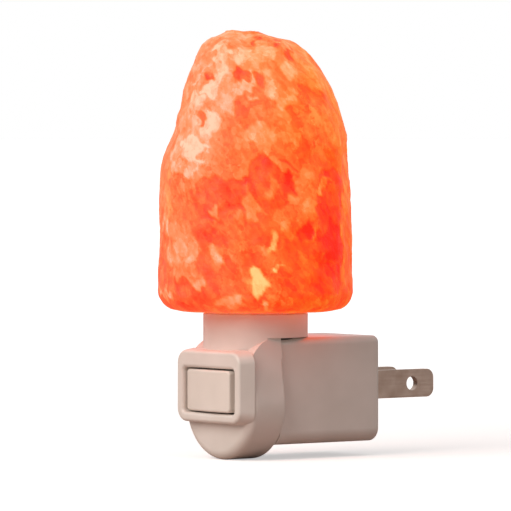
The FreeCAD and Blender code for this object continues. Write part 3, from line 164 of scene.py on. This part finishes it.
# Switch and wiring
# The lever, terminals and socket contacts are bare brass strip; the contacts are silver rivets.
# The wires are stranded copper in black and white PVC.

# Bare brass: rolled strip, yellow and slightly tarnished in clouds 2 mm across.
bare_brass, tree, shader, place = substance("bare_brass", Metallic=1.0)
tarnish = noise(tree, place, 0.002, 3.0)
two_tone(tree, shader, tarnish, "#A88346", "#D0AE6C")
roughen(tree, shader, tarnish, 0.45, 0.25)
dress(bare_brass, "contact_lever", "fulcrum_terminal", "fixed_terminal", "shell_terminal", "centre_contact",
      "socket_shell")

# Silver rivet heads: white metal, polished by the contacts' own wiping, with fine dark pits.
silver_contact, tree, shader, place = substance("silver_contact", Metallic=1.0)
pits = noise(tree, place, 0.0003, 2.0)
two_tone(tree, shader, pits, "#A9A9A6", "#DEDEDA")
roughen(tree, shader, pits, 0.4, 0.18)
dress(silver_contact, "moving_contact", "fixed_contact")

# PVC insulation: soft extruded plastic, evenly satin, with a faint grain 0.4 mm across.
for name, dark, pale, wires in (("black_pvc", "#17171A", "#232326", ("wire_line", "wire_switched")),
                                ("white_pvc", "#CFCDC6", "#E2E0DA", ("wire_neutral",))):
    pvc, tree, shader, place = substance(name, IOR=1.53)
    grain = noise(tree, place, 0.0004, 2.0)
    two_tone(tree, shader, grain, dark, pale)
    roughen(tree, shader, grain, 0.4, 0.55)
    dress(pvc, *wires)


# Housings and rocker
# The front housing with its neck and bezel, the plug box and the rocker are injection moulded
# in ivory ABS, with polished rims and a very fine spark-eroded grain on the broad faces.

def moulded_ivory(name, dark, pale, grain_depth):
    """Ivory ABS between two shades, with clouds 9 mm across and a grain 0.25 mm across."""
    made, tree, shader, place = substance(name, IOR=1.53)
    clouds = noise(tree, place, 0.009, 2.0)
    grain = noise(tree, place, 0.00025, 1.0)
    two_tone(tree, shader, clouds, dark, pale)
    roughen(tree, shader, grain, 0.34, 0.46)
    relief(tree, shader, grain, grain_depth)
    return made


dress(moulded_ivory("ivory_abs", "#DAD2CA", "#E3DBD4", 0.00001), "front_housing", "rear_housing")
dress(moulded_ivory("ivory_abs_rocker", "#DED5CB", "#E7DED5", 0.000006), "rocker_button")


# Bulb
# A clear night light bulb with a small screw cap: tungsten coil on its supports, lead-in wires
# pinched into a glass stem, a rolled nickel-plated cap and black glass round the solder tip.

# Clear soda-lime glass, drawn and blown thin.
clear_glass, tree, shader, place = substance("clear_glass", IOR=1.52, Transmission_Weight=1.0)
cords = noise(tree, place, 0.006, 1.0)
two_tone(tree, shader, cords, "#FFF3E2", "#FFFAF2")
roughen(tree, shader, cords, 0.02, 0.06)
dress(clear_glass, "bulb_glass", "bulb_stem")

# Rolled cap sheet: nickel-plated brass, bright, with scuffs along the thread.
rolled_cap, tree, shader, place = substance("rolled_cap", Metallic=1.0)
scuffs = noise(tree, place, 0.0015, 4.0)
two_tone(tree, shader, scuffs, "#B0A58F", "#D2CBBB")
roughen(tree, shader, scuffs, 0.22, 0.4)
dress(rolled_cap, "bulb_cap", "bulb_leads")

# Black cap glass: fused, smooth, with small bubbles.
black_cap_glass, tree, shader, place = substance("black_cap_glass", IOR=1.55)
bubbles = noise(tree, place, 0.0008, 2.0)
two_tone(tree, shader, bubbles, "#0B0B0D", "#19191C")
roughen(tree, shader, bubbles, 0.1, 0.3)
dress(black_cap_glass, "bulb_insulator")

# Solder: dull white metal with a wrinkled skin.
solder, tree, shader, place = substance("solder", Metallic=1.0)
skin = noise(tree, place, 0.0007, 4.0)
two_tone(tree, shader, skin, "#96989A", "#BDBFC0")
roughen(tree, shader, skin, 0.3, 0.6)
relief(tree, shader, skin, 0.00004)
dress(solder, "bulb_tip")

# Glowing tungsten: the real coil is hottest in the middle and cooler towards the leads; here it is hotter and
# cooler at random over patches about 3 mm across.
glowing_tungsten, tree, shader, place = substance("glowing_tungsten", Metallic=1.0, Emission_Strength=4.0)
heat = noise(tree, place, 0.003, 1.0)
shade = two_tone(tree, shader, heat, "#FF9A3C", "#FFD08A")
roughen(tree, shader, heat, 0.4, 0.6)
tree.links.new(shade.outputs["Color"], shader.inputs["Emission Color"])
dress(glowing_tungsten, "filament")

# Cold tungsten: drawn wire, dark grey and dull.
drawn_tungsten, tree, shader, place = substance("drawn_tungsten", Metallic=1.0)
oxide = noise(tree, place, 0.0005, 2.0)
two_tone(tree, shader, oxide, "#5A5550", "#7B7570")
roughen(tree, shader, oxide, 0.35, 0.5)
dress(drawn_tungsten, "filament_supports")


# Crystal grip
# A silicone sleeve stretched over the spigot, with a flange under the crystal. Silicone is soft
# and milky, and light from the bulb goes some way into it.

milky_silicone, tree, shader, place = substance("milky_silicone", IOR=1.41, Subsurface_Weight=0.3,
                                                Subsurface_Scale=0.002)
haze = noise(tree, place, 0.003, 2.0)
two_tone(tree, shader, haze, "#DCCDBD", "#E9DCCE")
roughen(tree, shader, haze, 0.45, 0.6)
dress(milky_silicone, "crystal_grip")


# Salt crystal
# A lump of rock salt, sawn flat below, hewn with a blade and smoothed by hand, and drilled from
# below for the bulb. Frosted chips look pale, and clear salt glows orange to red from inside.

MM = 0.001
grip_low, grip_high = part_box("crystal_grip")
axis = (grip_low + grip_high) / 2
salt_low, salt_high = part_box("salt_crystal")
salt_height = (salt_high.z - salt_low.z) / MM
view_turn = math.radians(52.0)

# The lump's reach in millimetres from the neck axis at rising shares of its height: to the left,
# right, near and far side of the photographed view. On top it closes left of the axis.
largest = {"left": 21.8, "right": 21.7, "near": 20.2, "far": 20.6}
rises = (0.08, 0.21, 0.38, 0.50, 0.55, 0.63, 0.72, 0.80, 0.886, 0.93, 0.95, 0.97, 0.993, 1.0)
shares = {
    "left": (1.0, 0.990, 0.987, 0.971, 0.948, 0.859, 0.797, 0.747, 0.642, 0.588, 0.55, 0.48, 0.31, 0.147),
    "right": (1.005, 1.005, 0.985, 0.970, 0.962, 0.952, 0.893, 0.777, 0.616, 0.51, 0.445, 0.31, 0.05, -0.147),
    "near": (1.0, 1.0, 0.990, 0.965, 0.945, 0.900, 0.840, 0.775, 0.655, 0.565, 0.500, 0.390, 0.190, 0.0),
    "far": (1.0, 0.995, 0.985, 0.970, 0.955, 0.915, 0.850, 0.775, 0.660, 0.570, 0.500, 0.400, 0.200, 0.0),
}
# Flats hewn into the lump: turn from the view's right towards its far side and lean upwards, in
# degrees, and depth in millimetres below the lump's furthest point that way.
flats = (
    (-48, 4, 1.1), (-132, 3, 1.0), (-98, 8, 0.6), (-72, 2, 0.6),
    (48, 5, 1.1), (134, 4, 1.0), (100, 6, 0.7), (72, 12, 0.6),
    (-92, 24, 0.7), (-58, 30, 0.9), (-124, 27, 0.9), (90, 26, 0.8), (56, 32, 0.9), (126, 28, 0.9),
    (-84, 50, 0.8), (-36, 46, 0.9), (-142, 44, 0.8), (84, 52, 0.9), (38, 46, 0.9), (140, 48, 0.8),
)
small_strokes = 260
foot_round = 4.7
bore_radius = 11.6
bore_top = 49.9
outer_rows, foot_rows, bore_rows, end_rows = 230, 12, 30, 6
columns = 300
lattice = 24


def field(points, spacing, seed):
    """Smooth random field from -1 to 1: random values on a cubic lattice of that spacing, mixed
    between the eight corners round each point with eased shares."""
    table = np.random.default_rng(seed).uniform(-1, 1, (lattice,) * 3)
    cell = np.floor(points / spacing).astype(int)
    share = points / spacing - cell
    share = share * share * (3 - 2 * share)
    total = np.zeros(points.shape[:-1])
    for corner in itertools.product((0, 1), repeat=3):
        weight = np.prod(np.where(corner, share, 1 - share), axis=-1)
        index = (cell + corner) % lattice
        total += weight * table[index[..., 0], index[..., 1], index[..., 2]]
    return total


def lump(drop, around):
    """Point of the smooth lump: at a share of its height below the top, the four reaches give an
    ellipse's centre and half sizes, and the ellipse is swollen towards a rounded square. Near
    the sawn foot the reach draws in along a quarter circle."""
    window = np.linspace(-0.016, 0.016, 7)
    levels = [1 - np.abs(drop - step) for step in window]
    left, right, near, far = (
        largest[side] * np.mean([np.interp(level, rises, shares[side]) for level in levels], axis=0)
        for side in ("left", "right", "near", "far"))
    height = (1 - drop) * salt_height
    lift = np.clip(foot_round - height, 0, foot_round)
    inset = foot_round - np.sqrt(foot_round ** 2 - lift ** 2)
    swell = 1 / np.maximum(np.abs(np.cos(around)), np.abs(np.sin(around))) ** 0.22
    across = (right - left) / 2 + np.cos(around) * (swell * (left + right) / 2 - inset)
    away = (far - near) / 2 + np.sin(around) * (swell * (near + far) / 2 - inset)
    return np.stack([across, away, height], axis=-1)


turns = np.linspace(0, 2 * math.pi, columns, endpoint=False)
steps = np.arange(1, outer_rows + 1) / outer_rows
drops = steps ** 1.5
outer = lump(*np.meshgrid(drops, turns, indexing="ij"))

# Hewing: each big stroke leaves a flat, and small ones chip it where it stands proud of a
# slightly tilted plane.
for turn, lean, depth in flats:
    turn, lean = math.radians(turn), math.radians(lean)
    normal = np.array([math.cos(turn) * math.cos(lean), math.sin(turn) * math.cos(lean), math.sin(lean)])
    proud = outer @ normal
    outer -= np.maximum(proud - proud.max() + depth, 0)[..., None] * normal
draw = np.random.default_rng(7)
for stroke in range(small_strokes):
    row = draw.integers(6, outer_rows - 10)
    column = draw.integers(columns)
    middle = outer[row, column]
    slope = outer[row + 5, column] - outer[row - 5, column]
    spread = outer[row, (column + 6) % columns] - outer[row, column - 6]
    normal = np.cross(spread, -slope)
    normal = normal / np.linalg.norm(normal) + draw.normal(0, 0.07, 3)
    normal /= np.linalg.norm(normal)
    distance = np.linalg.norm(outer - middle, axis=-1) / draw.uniform(3, 7)
    hold = np.clip(2.5 - 2.5 * distance, 0, 1)
    proud = (outer - middle) @ normal + draw.uniform(0.05, 0.25)
    outer -= (np.clip(proud, 0, 0.35) * hold)[..., None] * normal

# Hand smoothing leaves low swells and a fine bitten grain.
outward = outer * (1, 1, 0) / np.maximum(np.linalg.norm(outer * (1, 1, 0), axis=-1, keepdims=True), 1)
bite = 0.16 * field(outer, 5.0, 1) + 0.09 * field(outer, 1.9, 2) + 0.05 * field(outer, 0.8, 3)
outer = outer + outward * bite[..., None]

# The sawn foot runs in to the bore, whose wall rises to a flat end over the bulb.
foot_share = np.linspace(0, 1, foot_rows + 1)[1:, None, None]
rim = np.stack([bore_radius * np.cos(turns), bore_radius * np.sin(turns), np.zeros(columns)], axis=-1)
outer[-1, :, 2] = 0
foot = outer[-1] * (1 - foot_share) + rim * foot_share
bore_levels = np.concatenate([np.linspace(0, bore_top, bore_rows + 1)[1:], np.full(end_rows, bore_top)])
bore_reach = bore_radius * np.concatenate([np.ones(bore_rows), np.linspace(1, 0, end_rows + 2)[1:-1]])
bore = np.stack([
    np.outer(bore_reach, np.cos(turns)), np.outer(bore_reach, np.sin(turns)),
    np.repeat(bore_levels[:, None], columns, axis=1)], axis=-1)
rings = np.concatenate([outer, foot, bore])
poles = np.array([outer[0].mean(axis=0), (0, 0, bore_top)])


def to_frame(points):
    """Turn from the photographed view's right, away and up to the frame's axes, in metres."""
    right = points[..., 0] * math.cos(view_turn) - points[..., 1] * math.sin(view_turn)
    away = points[..., 0] * math.sin(view_turn) + points[..., 1] * math.cos(view_turn)
    return np.stack([right * MM + axis.x, away * MM + axis.y, points[..., 2] * MM + salt_low.z], axis=-1)


def closed_shell(name, rings, poles):
    """Mesh of rings of points, each joined to the next by quads, with a fan to a pole at each end."""
    rows, around = rings.shape[:2]
    index = np.arange(rows * around).reshape(rows, around)
    beside = np.roll(index, -1, axis=1)
    quads = np.stack([index[:-1], index[1:], beside[1:], beside[:-1]], axis=-1).reshape(-1, 4)
    first, last = rows * around, rows * around + 1
    fans = [(first, a, b) for a, b in zip(index[0], beside[0])]
    fans += [(last, b, a) for a, b in zip(index[-1], beside[-1])]
    mesh = bpy.data.meshes.new(name)
    mesh.from_pydata(np.concatenate([rings.reshape(-1, 3), poles]).tolist(), [], quads.tolist() + fans)
    mesh.polygons.foreach_set("use_smooth", np.ones(len(mesh.polygons), bool))
    piece = bpy.data.objects.new(name, mesh)
    bpy.context.scene.collection.objects.link(piece)
    return piece


crystal = closed_shell("salt_crystal_hewn", to_frame(rings), to_frame(poles))

# Veins and frosted patches: millimetres right of the axis and above the foot in the photographed
# view, half width, half height, tilt to the right in degrees, and tone from 0, deep red, to 1,
# frosted pale. A later patch lies over an earlier one. The far side has random ones instead.
patches = (
    (-6, 52, 14, 9, 0, 0.74), (-14, 40, 7, 12, 10, 0.70), (8, 51, 9, 8, -30, 0.60), (14, 40, 7, 12, 0, 0.44),
    (-1, 45, 5, 5, 0, 0.44), (-8, 25, 6, 5, 0, 0.28), (-17, 27, 4, 4, 0, 0.46), (4, 29, 6, 6, -20, 0.28),
    (17, 26, 4, 7, 0, 0.20), (-16, 13, 5, 9, -25, 0.56), (-7, 12, 6, 8, -20, 0.38), (2, 15, 4, 7, 0, 0.38),
    (16, 13, 6, 9, 0, 0.16), (8, 12, 5, 8, 0, 0.34), (0, 2, 20, 2, 0, 0.34), (-14, 3, 6, 3, 0, 0.30),
    (-14, 36, 3.9, 2.8, 0, 0.98), (-10.5, 42, 1.9, 3.6, -15, 0.92), (-12, 34, 2.6, 0.8, 0, 1.0),
    (-10.5, 34.6, 1.4, 1.6, 0, 0.62), (-6.5, 38, 1.2, 3.4, 0, 0.46), (-7.5, 57.5, 2.2, 2.8, 0, 0.92),
    (-8, 53, 1.0, 3.4, 5, 0.94), (-10, 50, 2.2, 1.8, 0, 0.95), (-13, 47, 1.4, 1.8, 0, 0.93),
    (-4, 56, 0.9, 1.6, -20, 0.88), (-10.5, 52.6, 0.9, 1.7, -35, 0.34), (-3, 52.5, 1.5, 1.6, 0, 0.32),
    (-12, 43, 1.2, 1.4, 0, 0.42), (2.4, 58, 2.6, 1.6, -15, 0.86), (4.6, 60, 1.2, 0.6, 60, 0.30),
    (0, 59.8, 0.6, 0.8, 0, 0.30), (3.4, 50, 1.1, 5.6, -36, 0.78), (6.8, 46, 2.2, 1.8, -30, 0.74),
    (7.6, 53, 1.6, 2.1, 0, 0.80), (8, 57.4, 0.9, 1.1, 0, 0.34), (11, 47, 1.1, 3.4, -12, 0.34),
    (0, 51.6, 1.3, 1.9, 0, 0.38), (12, 56, 0.6, 2.0, -35, 0.72), (15, 51, 1.2, 1.6, -25, 0.68),
    (0, 48, 1.2, 0.6, 0, 0.76), (1.4, 39.5, 3.3, 2.4, 0, 0.68), (5.4, 33.6, 0.9, 4.6, -42, 0.64),
    (10.2, 30, 2.2, 1.3, -60, 0.60), (15.6, 28.6, 2.0, 1.4, -40, 0.60), (2.4, 34, 1.0, 2.2, -18, 0.20),
    (7.2, 28.4, 1.3, 3.2, -12, 0.08), (-3, 28.6, 1.5, 1.1, 0, 0.14), (-5, 23.4, 1.3, 1.4, 0, 0.16),
    (-1.4, 23.6, 1.9, 3.0, 0, 0.68), (-8, 22.8, 1.3, 1.7, 0, 0.68), (3.6, 27.4, 1.0, 3.0, 0, 0.52),
    (12, 23.6, 2.4, 1.8, -45, 0.58), (13, 17, 0.6, 3.0, 0, 0.56), (10.8, 17.4, 1.3, 2.2, 0, 0.06),
    (17.4, 15.6, 2.4, 4.4, 0, 0.0), (16, 9, 2.2, 2.2, 0, 0.08), (4, 16.4, 0.7, 2.8, 0, 0.74),
    (4.4, 9.2, 0.9, 0.5, -45, 0.92), (1.0, 6.2, 1.7, 2.7, 0, 0.88), (2, 1.8, 1.0, 0.6, 0, 0.76),
    (-9.4, 13.4, 0.7, 2.8, -28, 0.68), (-12, 6, 1.4, 1.4, 0, 0.74), (-13.4, 9.6, 0.6, 1.8, -35, 0.64),
    (-15.6, 13.4, 0.4, 1.5, -15, 0.70), (-20, 19, 0.6, 2.6, 0, 0.80), (-18.8, 13.4, 0.9, 2.4, -15, 0.70),
    (-19, 4.6, 1.4, 0.7, 0, 0.78), (-20.6, 4, 0.4, 1.3, -45, 0.82), (-9.4, 16, 1.8, 1.6, 0, 0.22),
    (-10.6, 9.8, 1.5, 2.0, 0, 0.24), (-15.8, 6.6, 1.8, 1.6, 0, 0.24), (-5, 2.6, 3.4, 1.2, 0, 0.60),
)
# Where the bulb shows through as yellow light, with a strength in place of the tone.
bright_spots = (
    (0.6, 6.0, 2.6, 3.0, 0, 0.8), (4.4, 9.2, 1.0, 0.7, -45, 1.0), (4.2, 16.0, 0.9, 3.4, 0, 0.7),
    (-2.6, 15.0, 2.6, 3.2, 0, 0.35), (14, 41, 4.6, 7.0, 0, 0.25), (-19.4, 27, 0.9, 6.4, 0, 0.6),
    (5, 5, 2.6, 3.0, 0, 0.5),
)
far_patches = 240
far_side = 3

# The blade ran from upper left to lower right. Its strokes tear the patches' edges: each place is
# moved by a field 3.2 mm across and by one 1 mm across that is three times as long that way.
slant = math.radians(32)
places = np.concatenate([rings.reshape(-1, 3), poles])
strokes = np.stack([places[:, 0] * math.cos(slant) + places[:, 2] * math.sin(slant), places[:, 1],
                    (places[:, 2] * math.cos(slant) - places[:, 0] * math.sin(slant)) / 3], axis=-1)
warped = places + np.stack([field(places, 3.2, seed) for seed in (11, 12, 13)], axis=-1) * 1.2
warped += np.stack([field(strokes, 1.0, seed) for seed in (14, 15, 16)], axis=-1) * 1.1
surface = outer.reshape(-1, 3)


def oval(middle, turn, half_width, half_height, tilt):
    """Share by which a torn oval covers each point: 1 inside its turned half sizes, 0 outside, and
    between them over half a millimetre. It reaches 6 mm into the salt."""
    offset = warped - middle
    east = offset[:, 0] * math.cos(turn) + offset[:, 1] * math.sin(turn)
    inwards = offset[:, 1] * math.cos(turn) - offset[:, 0] * math.sin(turn)
    lean = math.radians(tilt)
    along = (offset[:, 2] * math.cos(lean) + east * math.sin(lean)) / half_height
    across = (east * math.cos(lean) - offset[:, 2] * math.sin(lean)) / half_width
    reach = np.sqrt(along ** 2 + across ** 2 + (inwards / 6) ** 2)
    return np.clip(0.5 + (1 - reach) * min(half_width, half_height) / 0.5, 0, 1)


def on_near_side(across, up):
    """Point of the photographed side at that place in the view."""
    off = np.hypot(surface[:, 0] - across, surface[:, 2] - up) + np.where(surface[:, 1] > 0, 100, 0)
    return surface[off.argmin()]


tone = 0.34 + 0.32 * places[:, 2] / salt_height
glow = np.zeros(len(places))
draw = np.random.default_rng(5)
for patch in range(far_patches):
    middle = surface[draw.integers(len(surface))]
    long = draw.uniform(1.0, 6.0)
    level = np.clip(draw.normal(0.25 + 0.45 * middle[2] / salt_height, 0.22), 0, 1)
    if middle[1] > far_side:
        sideways = math.atan2(middle[1], middle[0]) + math.pi / 2
        covered = oval(middle, sideways, long * draw.uniform(0.3, 0.9), long, draw.uniform(-60, 20))
        tone += covered * (level - tone)
for across, up, half_width, half_height, tilt, level in patches:
    covered = oval(on_near_side(across, up), 0, half_width, half_height, tilt)
    tone += covered * (level - tone)
for across, up, half_width, half_height, tilt, level in bright_spots:
    glow = np.maximum(glow, level * oval(on_near_side(across, up), 0, half_width, half_height, tilt))

# Salt is pinker to the left and more amber to the right, and more amber still in the painted glow where the
# bulb shows through. Its painted glow is brightest under the sawn foot.
amber = np.clip(0.45 + warped[:, 0] / 26 + 0.3 * field(places, 8.0, 23) + glow, 0, 1)
under = np.clip(1 - places[:, 2] / 0.6, 0, 1)
for label, values in (("tone", tone), ("amber", amber), ("glow", glow), ("under", under)):
    attribute = crystal.data.attributes.new(label, "FLOAT", "POINT")
    attribute.data.foreach_set("value", values.astype(np.float32))

# Rock salt lit from inside: refractive index 1.544, waxy where smoothed and matt where chipped.
rock_salt, tree, shader, place = substance("rock_salt", IOR=1.544, Emission_Strength=0.86,
                                           Specular_IOR_Level=0.3)
shade, ambered, shining, below = (add(tree, "ShaderNodeAttribute", attribute_name=label).outputs["Fac"]
                                  for label in ("tone", "amber", "glow", "under"))


def maths(operation, first, second, third=0.0):
    """Result of one arithmetic step on sockets or numbers."""
    node = add(tree, "ShaderNodeMath", operation=operation)
    for socket, value in zip(node.inputs, (first, second, third)):
        if isinstance(value, bpy.types.NodeSocket):
            tree.links.new(value, socket)
        else:
            socket.default_value = value
    return node.outputs[0]


def jagged(size, stretch):
    """Object place turned along the strokes and pushed about by a noise, for torn patch edges."""
    torn = add(tree, "ShaderNodeTexNoise", {"Vector": place, "Scale": 1 / (0.5 * size), "Detail": 3.0})
    centred = add(tree, "ShaderNodeVectorMath", {0: torn.outputs["Color"], 1: (0.5, 0.5, 0.5)},
                  operation="SUBTRACT")
    pushed = add(tree, "ShaderNodeVectorMath", {0: centred.outputs[0], 1: (0.8 * size,) * 3, 2: place},
                 operation="MULTIPLY_ADD")
    turned = add(tree, "ShaderNodeMapping", {"Vector": pushed.outputs[0], "Scale": (1.0, 1.0, stretch),
                                             "Rotation": (0.0, -slant, view_turn)}, vector_type="TEXTURE")
    return turned.outputs[0]


# Chips of three sizes, fine streaks and clouds each make a place paler or deeper.
streaks = noise(tree, jagged(0.001, 4.0), 0.0012, 3.0)
clouds = add(tree, "ShaderNodeTexNoise", {"Vector": place, "Scale": 1 / 0.0035, "Detail": 5.0,
                                          "Roughness": 0.6}).outputs["Fac"]
for size, stretch, weight in ((0.0046, 1.6, 0.12), (0.0022, 1.8, 0.16), (0.0010, 1.3, 0.12)):
    chip = add(tree, "ShaderNodeTexVoronoi", {"Vector": jagged(size, stretch), "Scale": 1 / size})
    level = add(tree, "ShaderNodeSeparateColor", {"Color": chip.outputs["Color"]}).outputs["Red"]
    shade = maths("MULTIPLY_ADD", maths("SUBTRACT", level, 0.5), weight, shade)
for level, weight in ((streaks, 0.40), (clouds, 0.35)):
    shade = maths("MULTIPLY_ADD", maths("SUBTRACT", level, 0.5), weight, shade)
ramps = []
stops = (0.0, 0.2, 0.38, 0.5, 0.66, 0.8, 0.96)
for codes in (("#FF2A0C", "#FF4C22", "#FF642E", "#FF783E", "#FF9260", "#FFAC88", "#FFC8A8"),
              ("#FF2404", "#FF4208", "#FF5C10", "#FF701C", "#FF8A36", "#FFA258", "#FFC080")):
    ramp = add(tree, "ShaderNodeValToRGB", {"Fac": shade})
    while len(ramp.color_ramp.elements) < len(codes):
        ramp.color_ramp.elements.new(1.0)
    for stop, position, code in zip(ramp.color_ramp.elements, stops, codes):
        stop.position = position
        stop.color = linear(code)
    ramps.append(ramp.outputs["Color"])
hue = add(tree, "ShaderNodeMix", {0: ambered, 6: ramps[0], 7: ramps[1]}, data_type="RGBA")
bright = maths("MULTIPLY", shining, maths("MULTIPLY_ADD", shade, 1.4, -0.4))
warm = add(tree, "ShaderNodeMix", {0: bright, 6: hue.outputs[2], 7: linear("#FFD080")}, data_type="RGBA")
lifted = maths("MULTIPLY_ADD", below, 0.7, 1.0)
light = add(tree, "ShaderNodeVectorMath", {0: warm.outputs[2], "Scale": lifted}, operation="SCALE")
tree.links.new(light.outputs[0], shader.inputs["Emission Color"])
skin = add(tree, "ShaderNodeVectorMath", {0: warm.outputs[2], 1: (0.25, 0.25, 0.25)}, operation="MULTIPLY")
tree.links.new(skin.outputs[0], shader.inputs["Base Color"])
roughen(tree, shader, shade, 0.45, 0.7)
relief(tree, shader, shade, 0.0005)
crystal.data.materials.append(rock_salt)
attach(crystal, "crystal")
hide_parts("salt_crystal")


# Stage
# A white floor that fades into white and throws back a warmer, weaker light, a large soft lamp in
# front, a weak one above, light from all round, and a long lens raised by 1.6 degrees.

floor_reach = 40.0
floor_level = cad_box[0].z
floor_mesh = bpy.data.meshes.new("floor")
corners = [(x * floor_reach, y * floor_reach, floor_level) for x, y in ((-1, -1), (1, -1), (1, 1), (-1, 1))]
floor_mesh.from_pydata(corners, [], [(0, 1, 2, 3)])
floor = bpy.data.objects.new("floor", floor_mesh)
bpy.context.scene.collection.objects.link(floor)
white_paper, tree, shader, place = substance("white_paper", Roughness=0.9,
                                             Emission_Color=(1.0, 1.0, 1.0, 1.0))
seen = add(tree, "ShaderNodeLightPath").outputs["Is Camera Ray"]
bounce = add(tree, "ShaderNodeMix", {0: seen, 6: linear("#B8A096"), 7: linear("#EFEBEA")}, data_type="RGBA")
tree.links.new(bounce.outputs[2], shader.inputs["Base Color"])
distance = add(tree, "ShaderNodeVectorMath", {0: place}, operation="LENGTH").outputs["Value"]
fade = add(tree, "ShaderNodeMapRange", {"Value": distance, "From Min": 0.1, "From Max": 0.6, "To Min": 0.45,
                                        "To Max": 0.8}).outputs["Result"]
tree.links.new(maths("MULTIPLY", seen, fade), shader.inputs["Emission Strength"])
floor_mesh.materials.append(white_paper)

world = bpy.data.worlds.new("studio")
bpy.context.scene.world = world
world.use_nodes = True
tree = world.node_tree
tree.nodes.clear()
rays = add(tree, "ShaderNodeLightPath").outputs
mirrored = maths("MAXIMUM", rays["Is Glossy Ray"], rays["Is Transmission Ray"])
plain = maths("MAXIMUM", rays["Is Camera Ray"], mirrored)
fill = 0.34
strength = maths("MULTIPLY_ADD", plain, 1 - fill, fill)
background = add(tree, "ShaderNodeBackground", {"Color": (1.0, 1.0, 1.0, 1.0), "Strength": strength})
add(tree, "ShaderNodeOutputWorld", {"Surface": background.outputs[0]})

middle = axis.copy()
middle.z = 29.5 * MM


def looking(item, turn, rise, distance):
    """Place an item at an angle and distance from the middle of the picture, facing it."""
    back = Vector((math.sin(turn) * math.cos(rise), -math.cos(turn) * math.cos(rise), math.sin(rise)))
    item.location = middle + back * distance
    item.rotation_euler = back.to_track_quat("Z", "Y").to_euler()
    bpy.context.scene.collection.objects.link(item)


lamps = (("key", 5, 32, 0.7, 0.5, 3.7), ("top", 60, 75, 0.8, 0.7, 0.9))
for name, turn, rise, distance, size, power in lamps:
    lamp = bpy.data.lights.new(name, "AREA")
    lamp.size = size
    lamp.energy = power
    lamp.color = (1.0, 0.90, 0.84)
    looking(bpy.data.objects.new(name, lamp), math.radians(turn), math.radians(rise), distance)

lens_distance = 1.3
lens_rise = math.radians(1.6)
picture_width = 0.1142
camera = bpy.data.cameras.new("camera")
camera.sensor_width = 36.0
camera.lens = camera.sensor_width * lens_distance / picture_width
camera.clip_end = 10.0
shot = bpy.data.objects.new("camera", camera)
looking(shot, view_turn, lens_rise, lens_distance)
bpy.context.scene.camera = shot
bpy.context.scene.view_settings.view_transform = "Standard"
